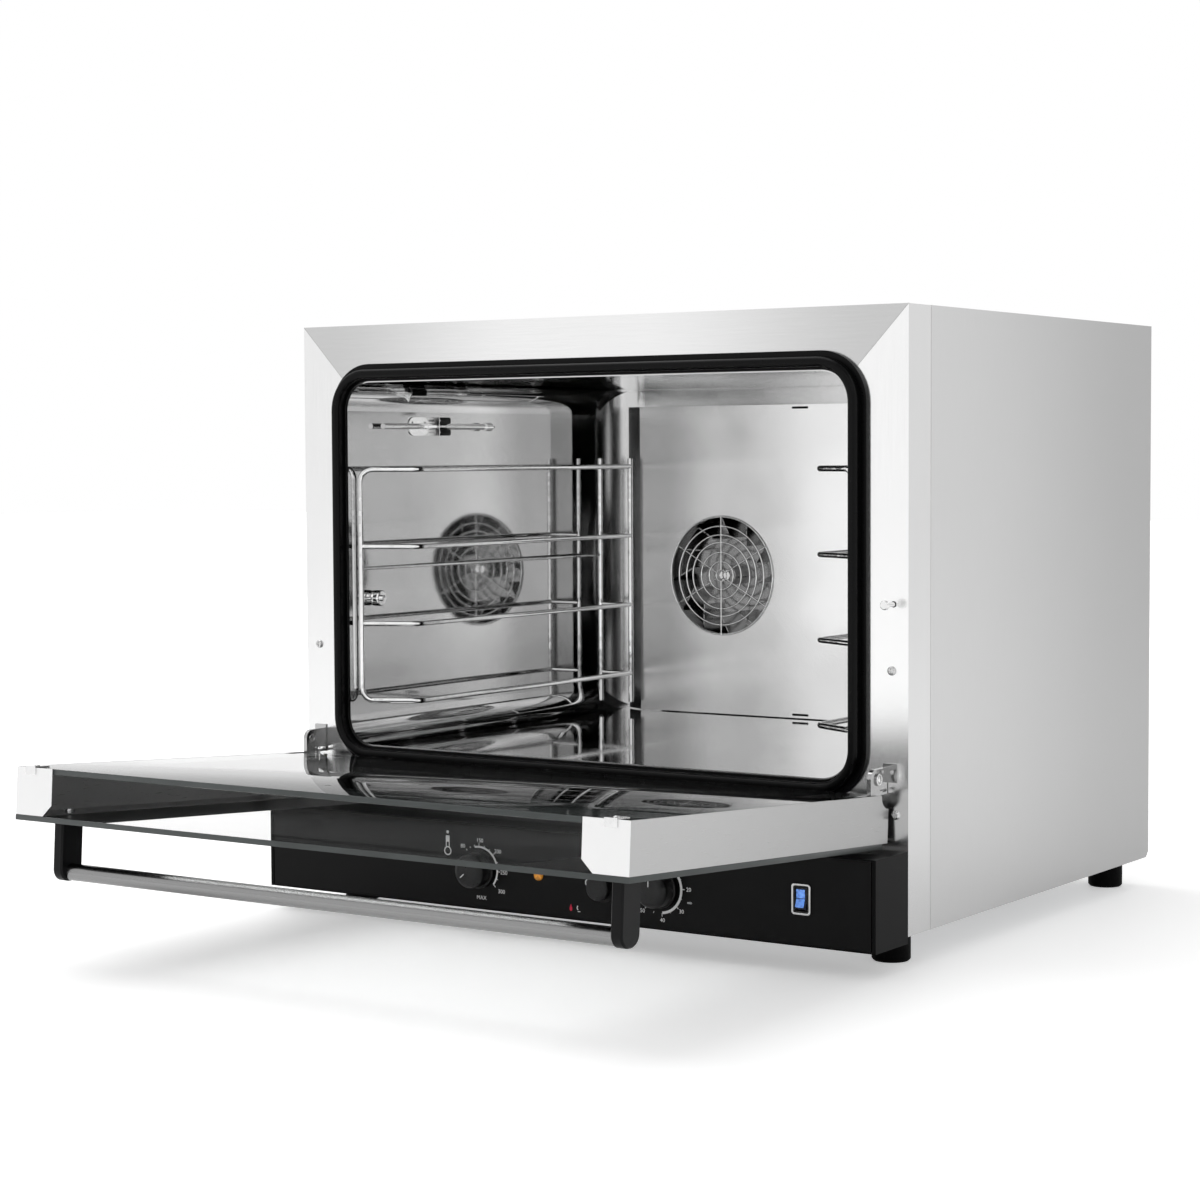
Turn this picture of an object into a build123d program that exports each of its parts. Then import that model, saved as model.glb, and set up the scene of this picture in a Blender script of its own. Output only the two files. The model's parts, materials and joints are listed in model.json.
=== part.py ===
from build123d import *
import math
import os

os.makedirs("parts", exist_ok=True)

# Countertop convection oven with its drop-down door open.
# Sizes are in millimetres, +Z is up and the front faces -Y.
# The origin is on the floor, in the middle of the space the oven takes up with the door open.
# Depths below are counted back from the face of the front frame, and heights from the floor.

hands = ((-1, "left"), (1, "right"))

# Cabinet
cabinet_width = 680.0
cabinet_height = 580.0
cavity_depth = 478.0
rear_space = 62.0
cabinet_depth = cavity_depth + rear_space
foot_height = 30.0
sheet = 1.2
slip = 0.2
frame_return = 42.0
frame_seam = 0.4
fold = 15.0
corner_cut = 6.0
half_width = cabinet_width / 2
inner_half = half_width - sheet - slip
panel_front = frame_return + frame_seam

# Feet
foot_radius = 17.5
foot_inset = 37.0
front_foot_depth = 39.0
rear_foot_setback = 25.0
rear_foot_depth = cabinet_depth - rear_foot_setback
foot_bevel = 2.0
stud_radius = 3.9
stud_hole_radius = 4.3
stud_length = 16.0
foot_nut_width = 6.5
foot_nut_height = 5.0

# Control box under the door
control_depth = 59.5
control_drop = 6.0
control_height = 81.0
control_bottom = foot_height - control_drop
control_top = control_bottom + control_height
control_middle = (control_bottom + control_top) / 2

# Door thickness, counted from the hinge pin
pane_rise = 7.5
channel_height = 42.0
pane_thickness = 5.0
channel_tail = 17.0
outer_pane_tail = 8.0
channel_floor = pane_rise - channel_height
outer_pane_face = channel_floor - pane_thickness
door_sweep = math.hypot(outer_pane_tail, outer_pane_face)

# Hinge
sweep_clearance = 2.2
pivot_ahead = 22.0
pivot_height = control_top + door_sweep + sweep_clearance
door_tilt = math.radians(3.7)

# Cavity
stile_width = 57.0
header_height = 56.5
pivot_below_mouth = 16.5
mouth_radius = 28.0
liner_wall = 1.0
lip = 2.0
rear_corner_radius = 40.0
wrapper_depth = cavity_depth - rear_corner_radius
mouth_half = half_width - stile_width
mouth_top = cabinet_height - header_height
mouth_bottom = pivot_height + pivot_below_mouth
mouth_middle = (mouth_top + mouth_bottom) / 2
cavity_back = cavity_depth + liner_wall

# Rear cable gland
gland_radius = 9.0
gland_bore = 5.0
gland_out = 12.0
gland_in = 9.0
gland_flange_radius = 14.0
gland_flange_height = 6.0
gland_inset = 100.0
gland_rise = 55.0
gland_x = gland_inset - half_width
gland_height = foot_height + gland_rise

# Door width and reach
door_inset = 16.5
door_cover = 15.0
outer_pane_lip = 0.5
door_half = half_width - door_inset
door_reach = mouth_top + door_cover - pivot_height

# Place of the front frame in the model
front_reach = (
    pivot_ahead
    + (door_reach + outer_pane_lip) * math.cos(door_tilt)
    - outer_pane_face * math.sin(door_tilt)
)
rear_reach = cabinet_depth + gland_out
front_y = (front_reach - rear_reach) / 2

door_along = Vector(0, -math.cos(door_tilt), math.sin(door_tilt))
door_up = Vector(0, math.sin(door_tilt), math.cos(door_tilt))
pivot = Vector(0, front_y - pivot_ahead, pivot_height)


def at(x, depth, height):
    """Point at this distance right of the middle, behind the front frame and above the floor."""
    return (x, front_y + depth, height)


def front_plane(depth=0.0):
    """Upright plane across the oven that faces the front; x is right and y is up."""
    return Plane(at(0, depth, 0), x_dir=(1, 0, 0), z_dir=(0, -1, 0))


def rear_plane(depth):
    """Upright plane across the oven that faces the rear; x is left and y is up."""
    return Plane(at(0, depth, 0), x_dir=(-1, 0, 0), z_dir=(0, 1, 0))


def side_plane(x):
    """Upright plane along the oven that faces right; x is the depth and y is up."""
    return Plane(at(x, 0, 0), x_dir=(0, 1, 0), z_dir=(1, 0, 0))


def level_plane(height):
    """Level plane; x is right and y is the depth."""
    return Plane(at(0, 0, height), x_dir=(1, 0, 0), z_dir=(0, 0, 1))


def door_end_plane(along):
    """Plane across the door; x is right, y is the door's thickness, and it faces the free end."""
    return Plane(pivot + door_along * along, x_dir=(1, 0, 0), z_dir=door_along)


def door_side_plane(x):
    """Plane along the door that faces left; x is the way to the free end, y the thickness."""
    return Plane(pivot + Vector(x, 0, 0), x_dir=door_along, z_dir=(-1, 0, 0))


def door_flat_plane(up):
    """Plane in the door's own level; x is right and y is the way back to the hinge."""
    return Plane(pivot + door_up * up, x_dir=(1, 0, 0), z_dir=door_up)


def slab(plane, x_span, y_span, amount, mode=Mode.ADD):
    """Extrude the rectangle that these two spans make on a plane."""
    with BuildSketch(plane) as outline:
        with Locations((sum(x_span) / 2, sum(y_span) / 2)):
            Rectangle(abs(x_span[1] - x_span[0]), abs(y_span[1] - y_span[0]))
    extrude(outline.sketch, amount=amount, mode=mode)


def rod(plane, centre, radius, amount, mode=Mode.ADD):
    """Extrude a circle on a plane."""
    with BuildSketch(plane) as outline:
        with Locations(centre):
            Circle(radius)
    extrude(outline.sketch, amount=amount, mode=mode)


def nut(plane, centre, radius, amount):
    """Extrude a hexagon on a plane."""
    with BuildSketch(plane) as outline:
        with Locations(centre):
            RegularPolygon(radius, 6)
    extrude(outline.sketch, amount=amount)


def pan_head_screw(plane, centre, head_radius, head_height, shank_radius, shank_length):
    """Screw whose head stands on a plane and whose shank goes in behind it."""
    rod(plane, centre, head_radius, head_height)
    rod(plane, centre, shank_radius, -shank_length)


def mouth(offset, mode=Mode.ADD):
    """Rounded outline this far outside the cavity mouth, for the sketch in hand."""
    with Locations((0, mouth_middle)):
        RectangleRounded(
            2 * (mouth_half + offset), mouth_top - mouth_bottom + 2 * offset, mouth_radius + offset, mode=mode
        )


def wire(points, radius, bend=0.0):
    """Round wire along a path of straight runs with rounded corners."""
    with BuildLine() as path:
        if bend > 0:
            FilletPolyline(*points, radius=bend)
        else:
            Polyline(*points)
    with BuildSketch(Plane(path.line @ 0, z_dir=path.line % 0)) as section:
        Circle(radius)
    sweep(section.sketch, path=path.line)


# Side panels, each with the folded rear edge that takes the rear panel's screws
rear_screw_inset = 9.0
rear_screw_low = 60.0
rear_screw_drop = 40.0
rear_screw_heights = (
    foot_height + rear_screw_low,
    (foot_height + cabinet_height) / 2,
    cabinet_height - rear_screw_drop,
)
rear_screw_radius = 1.6
rear_screw_clearance = 0.2
rear_fold_margin = 20.0

for side, hand in hands:
    with BuildPart() as side_panel:
        with BuildSketch(side_plane(side * (half_width - sheet))):
            Polygon(
                (panel_front, foot_height),
                (cabinet_depth - corner_cut, foot_height),
                (cabinet_depth, foot_height + corner_cut),
                (cabinet_depth, cabinet_height),
                (panel_front, cabinet_height),
                align=None,
            )
        extrude(amount=side * sheet)
        slab(
            front_plane(cabinet_depth - sheet - slip),
            (side * (half_width - sheet - fold), side * (half_width - sheet)),
            (foot_height + rear_fold_margin, cabinet_height - rear_fold_margin),
            sheet,
        )
        for height in rear_screw_heights:
            rod(
                front_plane(cabinet_depth - sheet - slip),
                (side * (half_width - rear_screw_inset), height),
                rear_screw_radius + rear_screw_clearance,
                sheet,
                Mode.SUBTRACT,
            )
    side_panel.part.label = f"side_panel_{hand}"
    export_step(side_panel.part, f"parts/side_panel_{hand}.step")

# Top panel with its folded side edges
with BuildPart() as top_panel:
    slab(level_plane(cabinet_height - sheet), (-inner_half, inner_half), (panel_front, cabinet_depth), sheet)
    for side, hand in hands:
        slab(
            level_plane(cabinet_height - sheet - fold),
            (side * (inner_half - sheet), side * inner_half),
            (panel_front, cabinet_depth - 2 * sheet - 2 * slip),
            fold,
        )
top_panel.part.label = "top_panel"
export_step(top_panel.part, "parts/top_panel.step")

# Base pan with folded side edges, stud holes and cooling slots
base_slot_length = 60.0
base_slot_step = 90.0
base_slot_width = 5.0
base_slot_pitch = 16.0
base_slot_count = 12
base_slot_setback = 270.0
base_slot_columns = 3
foot_half = half_width - foot_inset

with BuildPart() as base_pan:
    slab(
        level_plane(foot_height),
        (-inner_half, inner_half),
        (sheet + slip, cabinet_depth - sheet - slip),
        sheet,
    )
    for side, hand in hands:
        slab(
            level_plane(foot_height + sheet),
            (side * (inner_half - sheet), side * inner_half),
            (panel_front, cabinet_depth - 2 * sheet - 2 * slip),
            fold,
        )
        for depth in (front_foot_depth, rear_foot_depth):
            rod(
                level_plane(foot_height), (side * foot_half, depth), stud_hole_radius, sheet, Mode.SUBTRACT
            )
    with BuildSketch(level_plane(foot_height)):
        with Locations((0, cabinet_depth - base_slot_setback)):
            with GridLocations(base_slot_step, base_slot_pitch, base_slot_columns, base_slot_count):
                SlotOverall(base_slot_length, base_slot_width)
    extrude(amount=sheet, mode=Mode.SUBTRACT)
base_pan.part.label = "base_pan"
export_step(base_pan.part, "parts/base_pan.step")

# Feet, each with the stud that goes up through the base pan
with BuildPart() as feet:
    for side, hand in hands:
        for depth in (front_foot_depth, rear_foot_depth):
            rod(level_plane(0), (side * foot_half, depth), foot_radius, foot_height)
    chamfer(feet.edges().group_by(Axis.Z)[0], foot_bevel)
    for side, hand in hands:
        for depth in (front_foot_depth, rear_foot_depth):
            rod(level_plane(foot_height), (side * foot_half, depth), stud_radius, stud_length)
feet.part.label = "feet"
export_step(feet.part, "parts/feet.step")

# Rear panel with cooling slots and the cable hole
fan_offset = 115.0
vent_length = 70.0
vent_width = 4.0
vent_pitch = 11.0
vent_count = 9
vent_rise = 120.0
vent_drop = 80.0
vent_heights = (foot_height + vent_rise, cabinet_height - vent_drop)

with BuildPart() as rear_panel:
    slab(
        front_plane(cabinet_depth - sheet),
        (-inner_half, inner_half),
        (foot_height + sheet + slip, cabinet_height - sheet - slip),
        -sheet,
    )
    with BuildSketch(front_plane(cabinet_depth - sheet)):
        for height in vent_heights:
            with Locations((0, height)):
                with GridLocations(fan_offset * 2, vent_pitch, 2, vent_count):
                    SlotOverall(vent_length, vent_width)
    extrude(amount=-sheet, mode=Mode.SUBTRACT)
    rod(
        front_plane(cabinet_depth - sheet),
        (gland_x, gland_height),
        gland_radius + slip,
        -sheet,
        Mode.SUBTRACT,
    )
    for side, hand in hands:
        for height in rear_screw_heights:
            rod(
                front_plane(cabinet_depth - sheet),
                (side * (half_width - rear_screw_inset), height),
                rear_screw_radius + rear_screw_clearance,
                -sheet,
                Mode.SUBTRACT,
            )
rear_panel.part.label = "rear_panel"
export_step(rear_panel.part, "parts/rear_panel.step")

# Cable gland through the rear panel
with BuildPart() as cable_gland:
    rod(front_plane(cabinet_depth + gland_out), (gland_x, gland_height), gland_radius, gland_out + gland_in)
    nut(
        front_plane(cabinet_depth + gland_flange_height),
        (gland_x, gland_height),
        gland_flange_radius,
        gland_flange_height,
    )
    nut(
        front_plane(cabinet_depth - sheet - slip),
        (gland_x, gland_height),
        gland_flange_radius,
        gland_flange_height,
    )
    rod(
        front_plane(cabinet_depth + gland_out),
        (gland_x, gland_height),
        gland_bore,
        gland_out + gland_in,
        Mode.SUBTRACT,
    )
cable_gland.part.label = "cable_gland"
export_step(cable_gland.part, "parts/cable_gland.step")

# Front frame: two stiles, a mitred header and a sill
mitre_run = 48.0
mitre_drop = 50.5
mitre_reach = 1.7
mitre_gap = 0.3
stile_inset = 65.0
stile_step = 36.0
arm_thickness = 4.0
arm_inset = 3.5
arm_slot_clearance = 0.5
arm_low = 7.0
arm_top = 30.0
arm_outer = door_half - arm_inset
arm_inner = arm_outer - arm_thickness
frame_screw_insets = (16.0, 12.0)
upper_screw_rise = 98.0
lower_screw_drop = 11.5
frame_screw_heights = (mouth_bottom + upper_screw_rise, pivot_height - lower_screw_drop)
frame_screw_radius = 2.0
frame_screw_head = 4.0
frame_screw_head_height = 2.2
frame_screw_length = 8.0
plunger_inset = 14.5
plunger_rise = 156.0
plunger_height = mouth_bottom + plunger_rise
plunger_radius = 2.2
plunger_hole = 2.8
plunger_x = half_width - plunger_inset
stile_inner = half_width - stile_inset
mitre_x = half_width - mitre_reach * mitre_run
mitre_z = cabinet_height - mitre_reach * mitre_drop
stile_step_height = mouth_bottom + stile_step

for side, hand in hands:
    with BuildPart() as stile:
        with BuildSketch(front_plane()):
            Polygon(
                (side * stile_inner, foot_height),
                (side * half_width, foot_height),
                (side * half_width, cabinet_height - mitre_gap),
                (side * mitre_x, mitre_z - mitre_gap),
                (side * mitre_x, stile_step_height),
                (side * stile_inner, stile_step_height),
                align=None,
            )
            mouth(liner_wall + slip, Mode.SUBTRACT)
        extrude(amount=-sheet)
        slab(
            side_plane(side * (half_width - sheet)),
            (sheet, frame_return),
            (foot_height, cabinet_height - mitre_gap),
            side * sheet,
        )
        slab(
            front_plane(),
            (side * (arm_inner - arm_slot_clearance), side * (arm_outer + arm_slot_clearance)),
            (pivot_height + arm_low - arm_slot_clearance, pivot_height + arm_top + arm_slot_clearance),
            -sheet,
            Mode.SUBTRACT,
        )
        for inset, height in zip(frame_screw_insets, frame_screw_heights):
            rod(
                front_plane(),
                (side * (half_width - inset), height),
                frame_screw_radius + slip,
                -sheet,
                Mode.SUBTRACT,
            )
        if hand == "right":
            rod(front_plane(), (plunger_x, plunger_height), plunger_hole, -sheet, Mode.SUBTRACT)
    stile.part.label = f"front_stile_{hand}"
    export_step(stile.part, f"parts/front_stile_{hand}.step")

with BuildPart() as front_header:
    with BuildSketch(front_plane()):
        Polygon(
            (-half_width, cabinet_height),
            (half_width, cabinet_height),
            (mitre_x, mitre_z),
            (-mitre_x, mitre_z),
            align=None,
        )
        mouth(liner_wall + slip, Mode.SUBTRACT)
    extrude(amount=-sheet)
    slab(level_plane(cabinet_height - sheet), (-inner_half, inner_half), (sheet, frame_return), sheet)
front_header.part.label = "front_header"
export_step(front_header.part, "parts/front_header.step")

with BuildPart() as front_sill:
    with BuildSketch(front_plane()):
        with Locations((0, (foot_height + stile_step_height) / 2)):
            Rectangle(2 * (stile_inner - mitre_gap), stile_step_height - foot_height)
        mouth(liner_wall + slip, Mode.SUBTRACT)
    extrude(amount=-sheet)
front_sill.part.label = "front_sill"
export_step(front_sill.part, "parts/front_sill.step")

# Fans: two of them side by side behind the baffle
fan_drop = 26.25
fan_height = mouth_middle - fan_drop
plenum = 43.0
baffle_face = cavity_depth - plenum
baffle_sheet = 1.2
fan_hole_radius = 64.0
shaft_radius = 4.0
running_clearance = 0.06
shaft_hole_radius = 7.0
element_ring_radius = 82.0
element_radius = 3.25
element_gap = 10.0
element_setback = 22.0
element_tail = 17.0
element_ring_depth = cavity_depth - element_setback
element_tail_end = cavity_depth + element_tail
element_hole_radius = 3.6
fan_centres = tuple((side * fan_offset, fan_height) for side, hand in hands)
element_angles = (math.radians(270 - element_gap), math.radians(270 + element_gap))


def element_ends(centre):
    """Places across the oven where an element's two ends turn back to the rear wall."""
    return [
        (
            centre[0] + element_ring_radius * math.cos(angle),
            centre[1] + element_ring_radius * math.sin(angle),
        )
        for angle in element_angles
    ]


# Fan baffle sizes, which the cavity rear wall needs for its screw holes
baffle_half = 222.0
baffle_wing_out = 21.6
baffle_wing_back = 10.0
baffle_floor_gap = 1.0
baffle_top_gap = 19.5
baffle_leg_half = 14.0
baffle_tab_height = 12.0
baffle_low = mouth_bottom + baffle_floor_gap
baffle_top = mouth_top - baffle_top_gap
baffle_wing = baffle_half + baffle_wing_out
baffle_corner = baffle_half - baffle_sheet * math.tan(math.atan2(baffle_wing_back, baffle_wing_out) / 2)
leg_end = cavity_depth - slip
tab_screw_hole = 2.2
tab_places = (
    baffle_low + baffle_tab_height / 2,
    baffle_top - baffle_tab_height / 2,
)

# Cavity wrapper: floor, walls and ceiling in one rounded tube
with BuildPart() as cavity_wrapper:
    with BuildSketch(front_plane(-lip)):
        mouth(liner_wall)
        mouth(0, Mode.SUBTRACT)
    extrude(amount=-(wrapper_depth + lip))
cavity_wrapper.part.label = "cavity_wrapper"
export_step(cavity_wrapper.part, "parts/cavity_wrapper.step")


def pan_block(wall):
    """Rear end of the cavity as a solid, rounded along its edges and its upright corners."""
    with BuildPart() as block:
        with BuildSketch(front_plane(wrapper_depth)):
            mouth(wall)
        extrude(amount=-(cavity_depth + wall - wrapper_depth))
        with BuildSketch(level_plane(mouth_bottom - 2 * wall)):
            with Locations((0, (cavity_depth + wall) / 2)):
                RectangleRounded(
                    2 * (mouth_half + wall), cavity_depth + wall, rear_corner_radius + wall
                )
        extrude(amount=mouth_top - mouth_bottom + 4 * wall, mode=Mode.INTERSECT)
    return block.part


# Cavity rear wall with its shaft and element holes
outer_pan = pan_block(liner_wall)
inner_pan = pan_block(0)
with BuildPart() as cavity_rear:
    add(outer_pan)
    add(inner_pan, mode=Mode.SUBTRACT)
    for centre in fan_centres:
        rod(front_plane(cavity_back), centre, shaft_hole_radius, liner_wall, Mode.SUBTRACT)
        for end in element_ends(centre):
            rod(front_plane(cavity_back), end, element_hole_radius, liner_wall, Mode.SUBTRACT)
    for height in tab_places:
        rod(front_plane(cavity_back), (0, height), tab_screw_hole, liner_wall, Mode.SUBTRACT)
cavity_rear.part.label = "cavity_rear"
export_step(cavity_rear.part, "parts/cavity_rear.step")

# Insulation round the cavity and behind it
insulation_thickness = 30.0
insulation_front = 6.0
rear_pad_thickness = 26.0
motor_radius = 36.0
motor_hole_radius = 40.0
element_pad_hole = 6.0

with BuildPart() as insulation:
    with BuildSketch(front_plane(insulation_front)):
        mouth(liner_wall + slip + insulation_thickness)
        mouth(liner_wall + slip, Mode.SUBTRACT)
    extrude(amount=-(cavity_depth - insulation_front))
    with BuildSketch(front_plane(cavity_back + slip)):
        mouth(liner_wall + slip + insulation_thickness)
        for centre in fan_centres:
            with Locations(centre):
                Circle(motor_hole_radius, mode=Mode.SUBTRACT)
            with Locations(*element_ends(centre)):
                Circle(element_pad_hole, mode=Mode.SUBTRACT)
    extrude(amount=-rear_pad_thickness)
insulation.part.label = "insulation"
export_step(insulation.part, "parts/insulation.step")

# Door gasket round the mouth: a flat foot and a rounded bead
gasket_width = 18.0
gasket_foot = 4.0
gasket_height = 14.0
bead_inner = 3.5
bead_outer = 12.5
bead_round = 3.5
gasket_play = 0.3

with BuildPart() as door_gasket:
    with BuildSketch(front_plane()):
        mouth(gasket_width)
        mouth(liner_wall + gasket_play, Mode.SUBTRACT)
    extrude(amount=gasket_foot)
    with BuildSketch(front_plane()):
        mouth(bead_outer)
        mouth(bead_inner, Mode.SUBTRACT)
    extrude(amount=gasket_height)
    fillet(door_gasket.faces().sort_by(Axis.Y)[0].edges(), bead_round)
door_gasket.part.label = "door_gasket"
export_step(door_gasket.part, "parts/door_gasket.step")

# Fan baffle with its swept-back sides and the two legs that hold it off the rear wall
with BuildPart() as fan_baffle:
    with BuildSketch(level_plane(baffle_low)):
        Polygon(
            (-baffle_wing, baffle_face + baffle_wing_back),
            (-baffle_half, baffle_face),
            (baffle_half, baffle_face),
            (baffle_wing, baffle_face + baffle_wing_back),
            (baffle_wing, baffle_face + baffle_wing_back + baffle_sheet),
            (baffle_corner, baffle_face + baffle_sheet),
            (-baffle_corner, baffle_face + baffle_sheet),
            (-baffle_wing, baffle_face + baffle_wing_back + baffle_sheet),
            align=None,
        )
    extrude(amount=baffle_top - baffle_low)
    for centre in fan_centres:
        rod(front_plane(baffle_face), centre, fan_hole_radius, -baffle_sheet, Mode.SUBTRACT)
    for leg_low, tab_low in (
        (baffle_low, baffle_low),
        (baffle_top - baffle_sheet, baffle_top - baffle_tab_height),
    ):
        slab(
            level_plane(leg_low), (-baffle_leg_half, baffle_leg_half), (baffle_face, leg_end), baffle_sheet
        )
        slab(
            front_plane(leg_end),
            (-baffle_leg_half, baffle_leg_half),
            (tab_low, tab_low + baffle_tab_height),
            baffle_sheet,
        )
    for height in tab_places:
        rod(front_plane(leg_end), (0, height), tab_screw_hole, baffle_sheet, Mode.SUBTRACT)
fan_baffle.part.label = "fan_baffle"
export_step(fan_baffle.part, "parts/fan_baffle.step")

# Wire guards over the fan holes
guard_wire = 0.9
guard_spoke_wire = 0.7
guard_spoke_lead = 0.4
guard_rings = (6.4, 15.4, 25.6, 36.5, 44.8, 54.4)
guard_rim = 65.2
guard_spokes = 6
guard_spoke_over = 0.5
guard_depth = baffle_face - guard_wire - slip
spoke_start = guard_rings[0] - guard_spoke_over
spoke_length = guard_rim + guard_spoke_over - spoke_start

with BuildPart() as fan_guards:
    for centre in fan_centres:
        middle = at(centre[0], guard_depth, centre[1])
        with BuildSketch(Plane(middle, x_dir=(1, 0, 0), z_dir=(0, 0, 1))) as ring_sections:
            for ring in (*guard_rings, guard_rim):
                with Locations((ring, 0)):
                    Circle(guard_wire)
        revolve(ring_sections.sketch, axis=Axis(middle, (0, 1, 0)))
        for spoke in range(guard_spokes):
            angle = math.radians(90 + 360 / guard_spokes * spoke)
            reach = (math.cos(angle), math.sin(angle))
            start = at(
                centre[0] + spoke_start * reach[0],
                guard_depth - guard_spoke_lead,
                centre[1] + spoke_start * reach[1],
            )
            rod(Plane(start, z_dir=(reach[0], 0, reach[1])), (0, 0), guard_spoke_wire, spoke_length)
fan_guards.part.label = "fan_guards"
export_step(fan_guards.part, "parts/fan_guards.step")

# Ring heating elements round the fans
for centre, (side, hand) in zip(fan_centres, hands):
    with BuildPart() as heating_element:
        start = element_angles[1]
        ring_plane = Plane(
            at(centre[0], element_ring_depth, centre[1]),
            x_dir=(math.cos(start), 0, math.sin(start)),
            z_dir=(0, -1, 0),
        )
        with Locations(ring_plane):
            Torus(element_ring_radius, element_radius, major_angle=360 - 2 * element_gap, align=None)
        for x, height in element_ends(centre):
            with Locations(at(x, element_ring_depth, height)):
                Sphere(element_radius)
            wire([at(x, element_ring_depth, height), at(x, element_tail_end, height)], element_radius)
    heating_element.part.label = f"heating_element_{hand}"
    export_step(heating_element.part, f"parts/heating_element_{hand}.step")

# Fan impellers: back disc, blades and hub
impeller_radius = 70.0
impeller_setback = 14.0
impeller_disc = 1.5
blade_width = 22.0
blade_length = 30.0
blade_thickness = 1.2
blade_count = 12
blade_lean = 28.0
hub_radius = 11.0
hub_length = 18.0
seat_clearance = 0.02
shaft_behind_wall = 42.0
hub_nut = 7.0
hub_nut_height = 5.0
impeller_disc_depth = cavity_depth - impeller_setback
impeller_front = impeller_disc_depth - blade_width
hub_front = impeller_disc_depth - hub_length
shaft_end = cavity_depth + shaft_behind_wall

for centre, (side, hand) in zip(fan_centres, hands):
    with BuildPart() as impeller:
        rod(front_plane(impeller_disc_depth + impeller_disc), centre, impeller_radius, impeller_disc)
        rod(front_plane(impeller_disc_depth), centre, hub_radius, impeller_disc_depth - hub_front)
        with BuildSketch(front_plane(impeller_disc_depth)):
            with Locations(centre):
                with PolarLocations(impeller_radius - blade_length / 2, blade_count):
                    Rectangle(blade_length, blade_thickness, rotation=blade_lean)
        extrude(amount=impeller_disc_depth - impeller_front)
        rod(
            front_plane(impeller_disc_depth + impeller_disc),
            centre,
            shaft_radius + seat_clearance,
            impeller_disc_depth + impeller_disc - hub_front,
            Mode.SUBTRACT,
        )
    impeller.part.label = f"fan_impeller_{hand}"
    export_step(impeller.part, f"parts/fan_impeller_{hand}.step")

    with BuildPart() as motor_shaft:
        rod(front_plane(shaft_end), centre, shaft_radius, shaft_end - hub_front + seat_clearance)
        nut(front_plane(hub_front - seat_clearance), centre, hub_nut, hub_nut_height)
    motor_shaft.part.label = f"motor_shaft_{hand}"
    export_step(motor_shaft.part, f"parts/motor_shaft_{hand}.step")

# Fan motors on the back of the cavity
motor_flange_radius = 30.0
motor_flange = 2.0
motor_neck_radius = 12.0
motor_neck = 21.0
motor_length = 30.0
shaft_end_gap = 4.0
motor_front = cavity_back + slip
motor_body_front = cavity_back + motor_neck
motor_back = motor_body_front + motor_length
shaft_bore_end = shaft_end + shaft_end_gap

for centre, (side, hand) in zip(fan_centres, hands):
    with BuildPart() as fan_motor:
        rod(front_plane(motor_front + motor_flange), centre, motor_flange_radius, motor_flange)
        rod(front_plane(motor_body_front), centre, motor_neck_radius, motor_body_front - motor_front)
        rod(front_plane(motor_back), centre, motor_radius, motor_back - motor_body_front)
        rod(
            front_plane(shaft_bore_end),
            centre,
            shaft_radius + running_clearance,
            shaft_bore_end - motor_front,
            Mode.SUBTRACT,
        )
    fan_motor.part.label = f"fan_motor_{hand}"
    export_step(fan_motor.part, f"parts/fan_motor_{hand}.step")

# Thermostat bulb on the left wall, and its bracket
bulb_radius = 3.0
bulb_wall_gap = 8.0
bulb_drop = 42.5
bulb_front = 44.0
bulb_rear = 225.0
bulb_fitting_radius = 4.5
bulb_fitting_length = 10.0
capillary_radius = 1.5
capillary_bend = 5.0
bracket_front = 94.0
bracket_rear = 164.0
bracket_half_height = 9.5
bracket_sheet = 1.0
bracket_wall_gap = 0.1
bracket_hole_radius = 1.7
bracket_hole_inset = 6.5
bracket_hole_rise = 3.5
bracket_lugs = ((111.0, 13.0), (122.0, 19.0))
bulb_x = -(mouth_half - bulb_wall_gap)
bulb_height = mouth_top - bulb_drop
bracket_wall = -(mouth_half - bracket_wall_gap)

with BuildPart() as thermostat_bulb:
    rod(front_plane(bulb_rear), (bulb_x, bulb_height), bulb_radius, bulb_rear - bulb_front)
    rod(front_plane(bulb_rear), (bulb_x, bulb_height), bulb_fitting_radius, bulb_fitting_length)
    wire(
        [
            at(bulb_x, bulb_rear - bulb_fitting_length / 2, bulb_height),
            at(bulb_x, bulb_rear + 2 * capillary_bend, bulb_height),
            at(-mouth_half + bracket_wall_gap, bulb_rear + 2 * capillary_bend, bulb_height),
        ],
        capillary_radius,
        capillary_bend,
    )
thermostat_bulb.part.label = "thermostat_bulb"
export_step(thermostat_bulb.part, "parts/thermostat_bulb.step")

with BuildPart() as bulb_bracket:
    with BuildSketch(side_plane(bracket_wall)):
        with Locations(((bracket_front + bracket_rear) / 2, bulb_height)):
            SlotOverall(bracket_rear - bracket_front, 2 * bracket_half_height)
    extrude(amount=bracket_sheet)
    for depth in (bracket_front + bracket_hole_inset, bracket_rear - bracket_hole_inset):
        rod(
            side_plane(bracket_wall),
            (depth, bulb_height + bracket_hole_rise),
            bracket_hole_radius,
            bracket_sheet,
            Mode.SUBTRACT,
        )
    for depth, reach in bracket_lugs:
        slab(
            side_plane(bracket_wall),
            (depth, depth + bracket_sheet),
            (bulb_height - bracket_half_height, bulb_height + bracket_half_height),
            reach,
        )
    rod(
        front_plane(bracket_rear),
        (bulb_x, bulb_height),
        bulb_radius + seat_clearance,
        bracket_rear - bracket_front,
        Mode.SUBTRACT,
    )
bulb_bracket.part.label = "bulb_bracket"
export_step(bulb_bracket.part, "parts/bulb_bracket.step")

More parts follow.
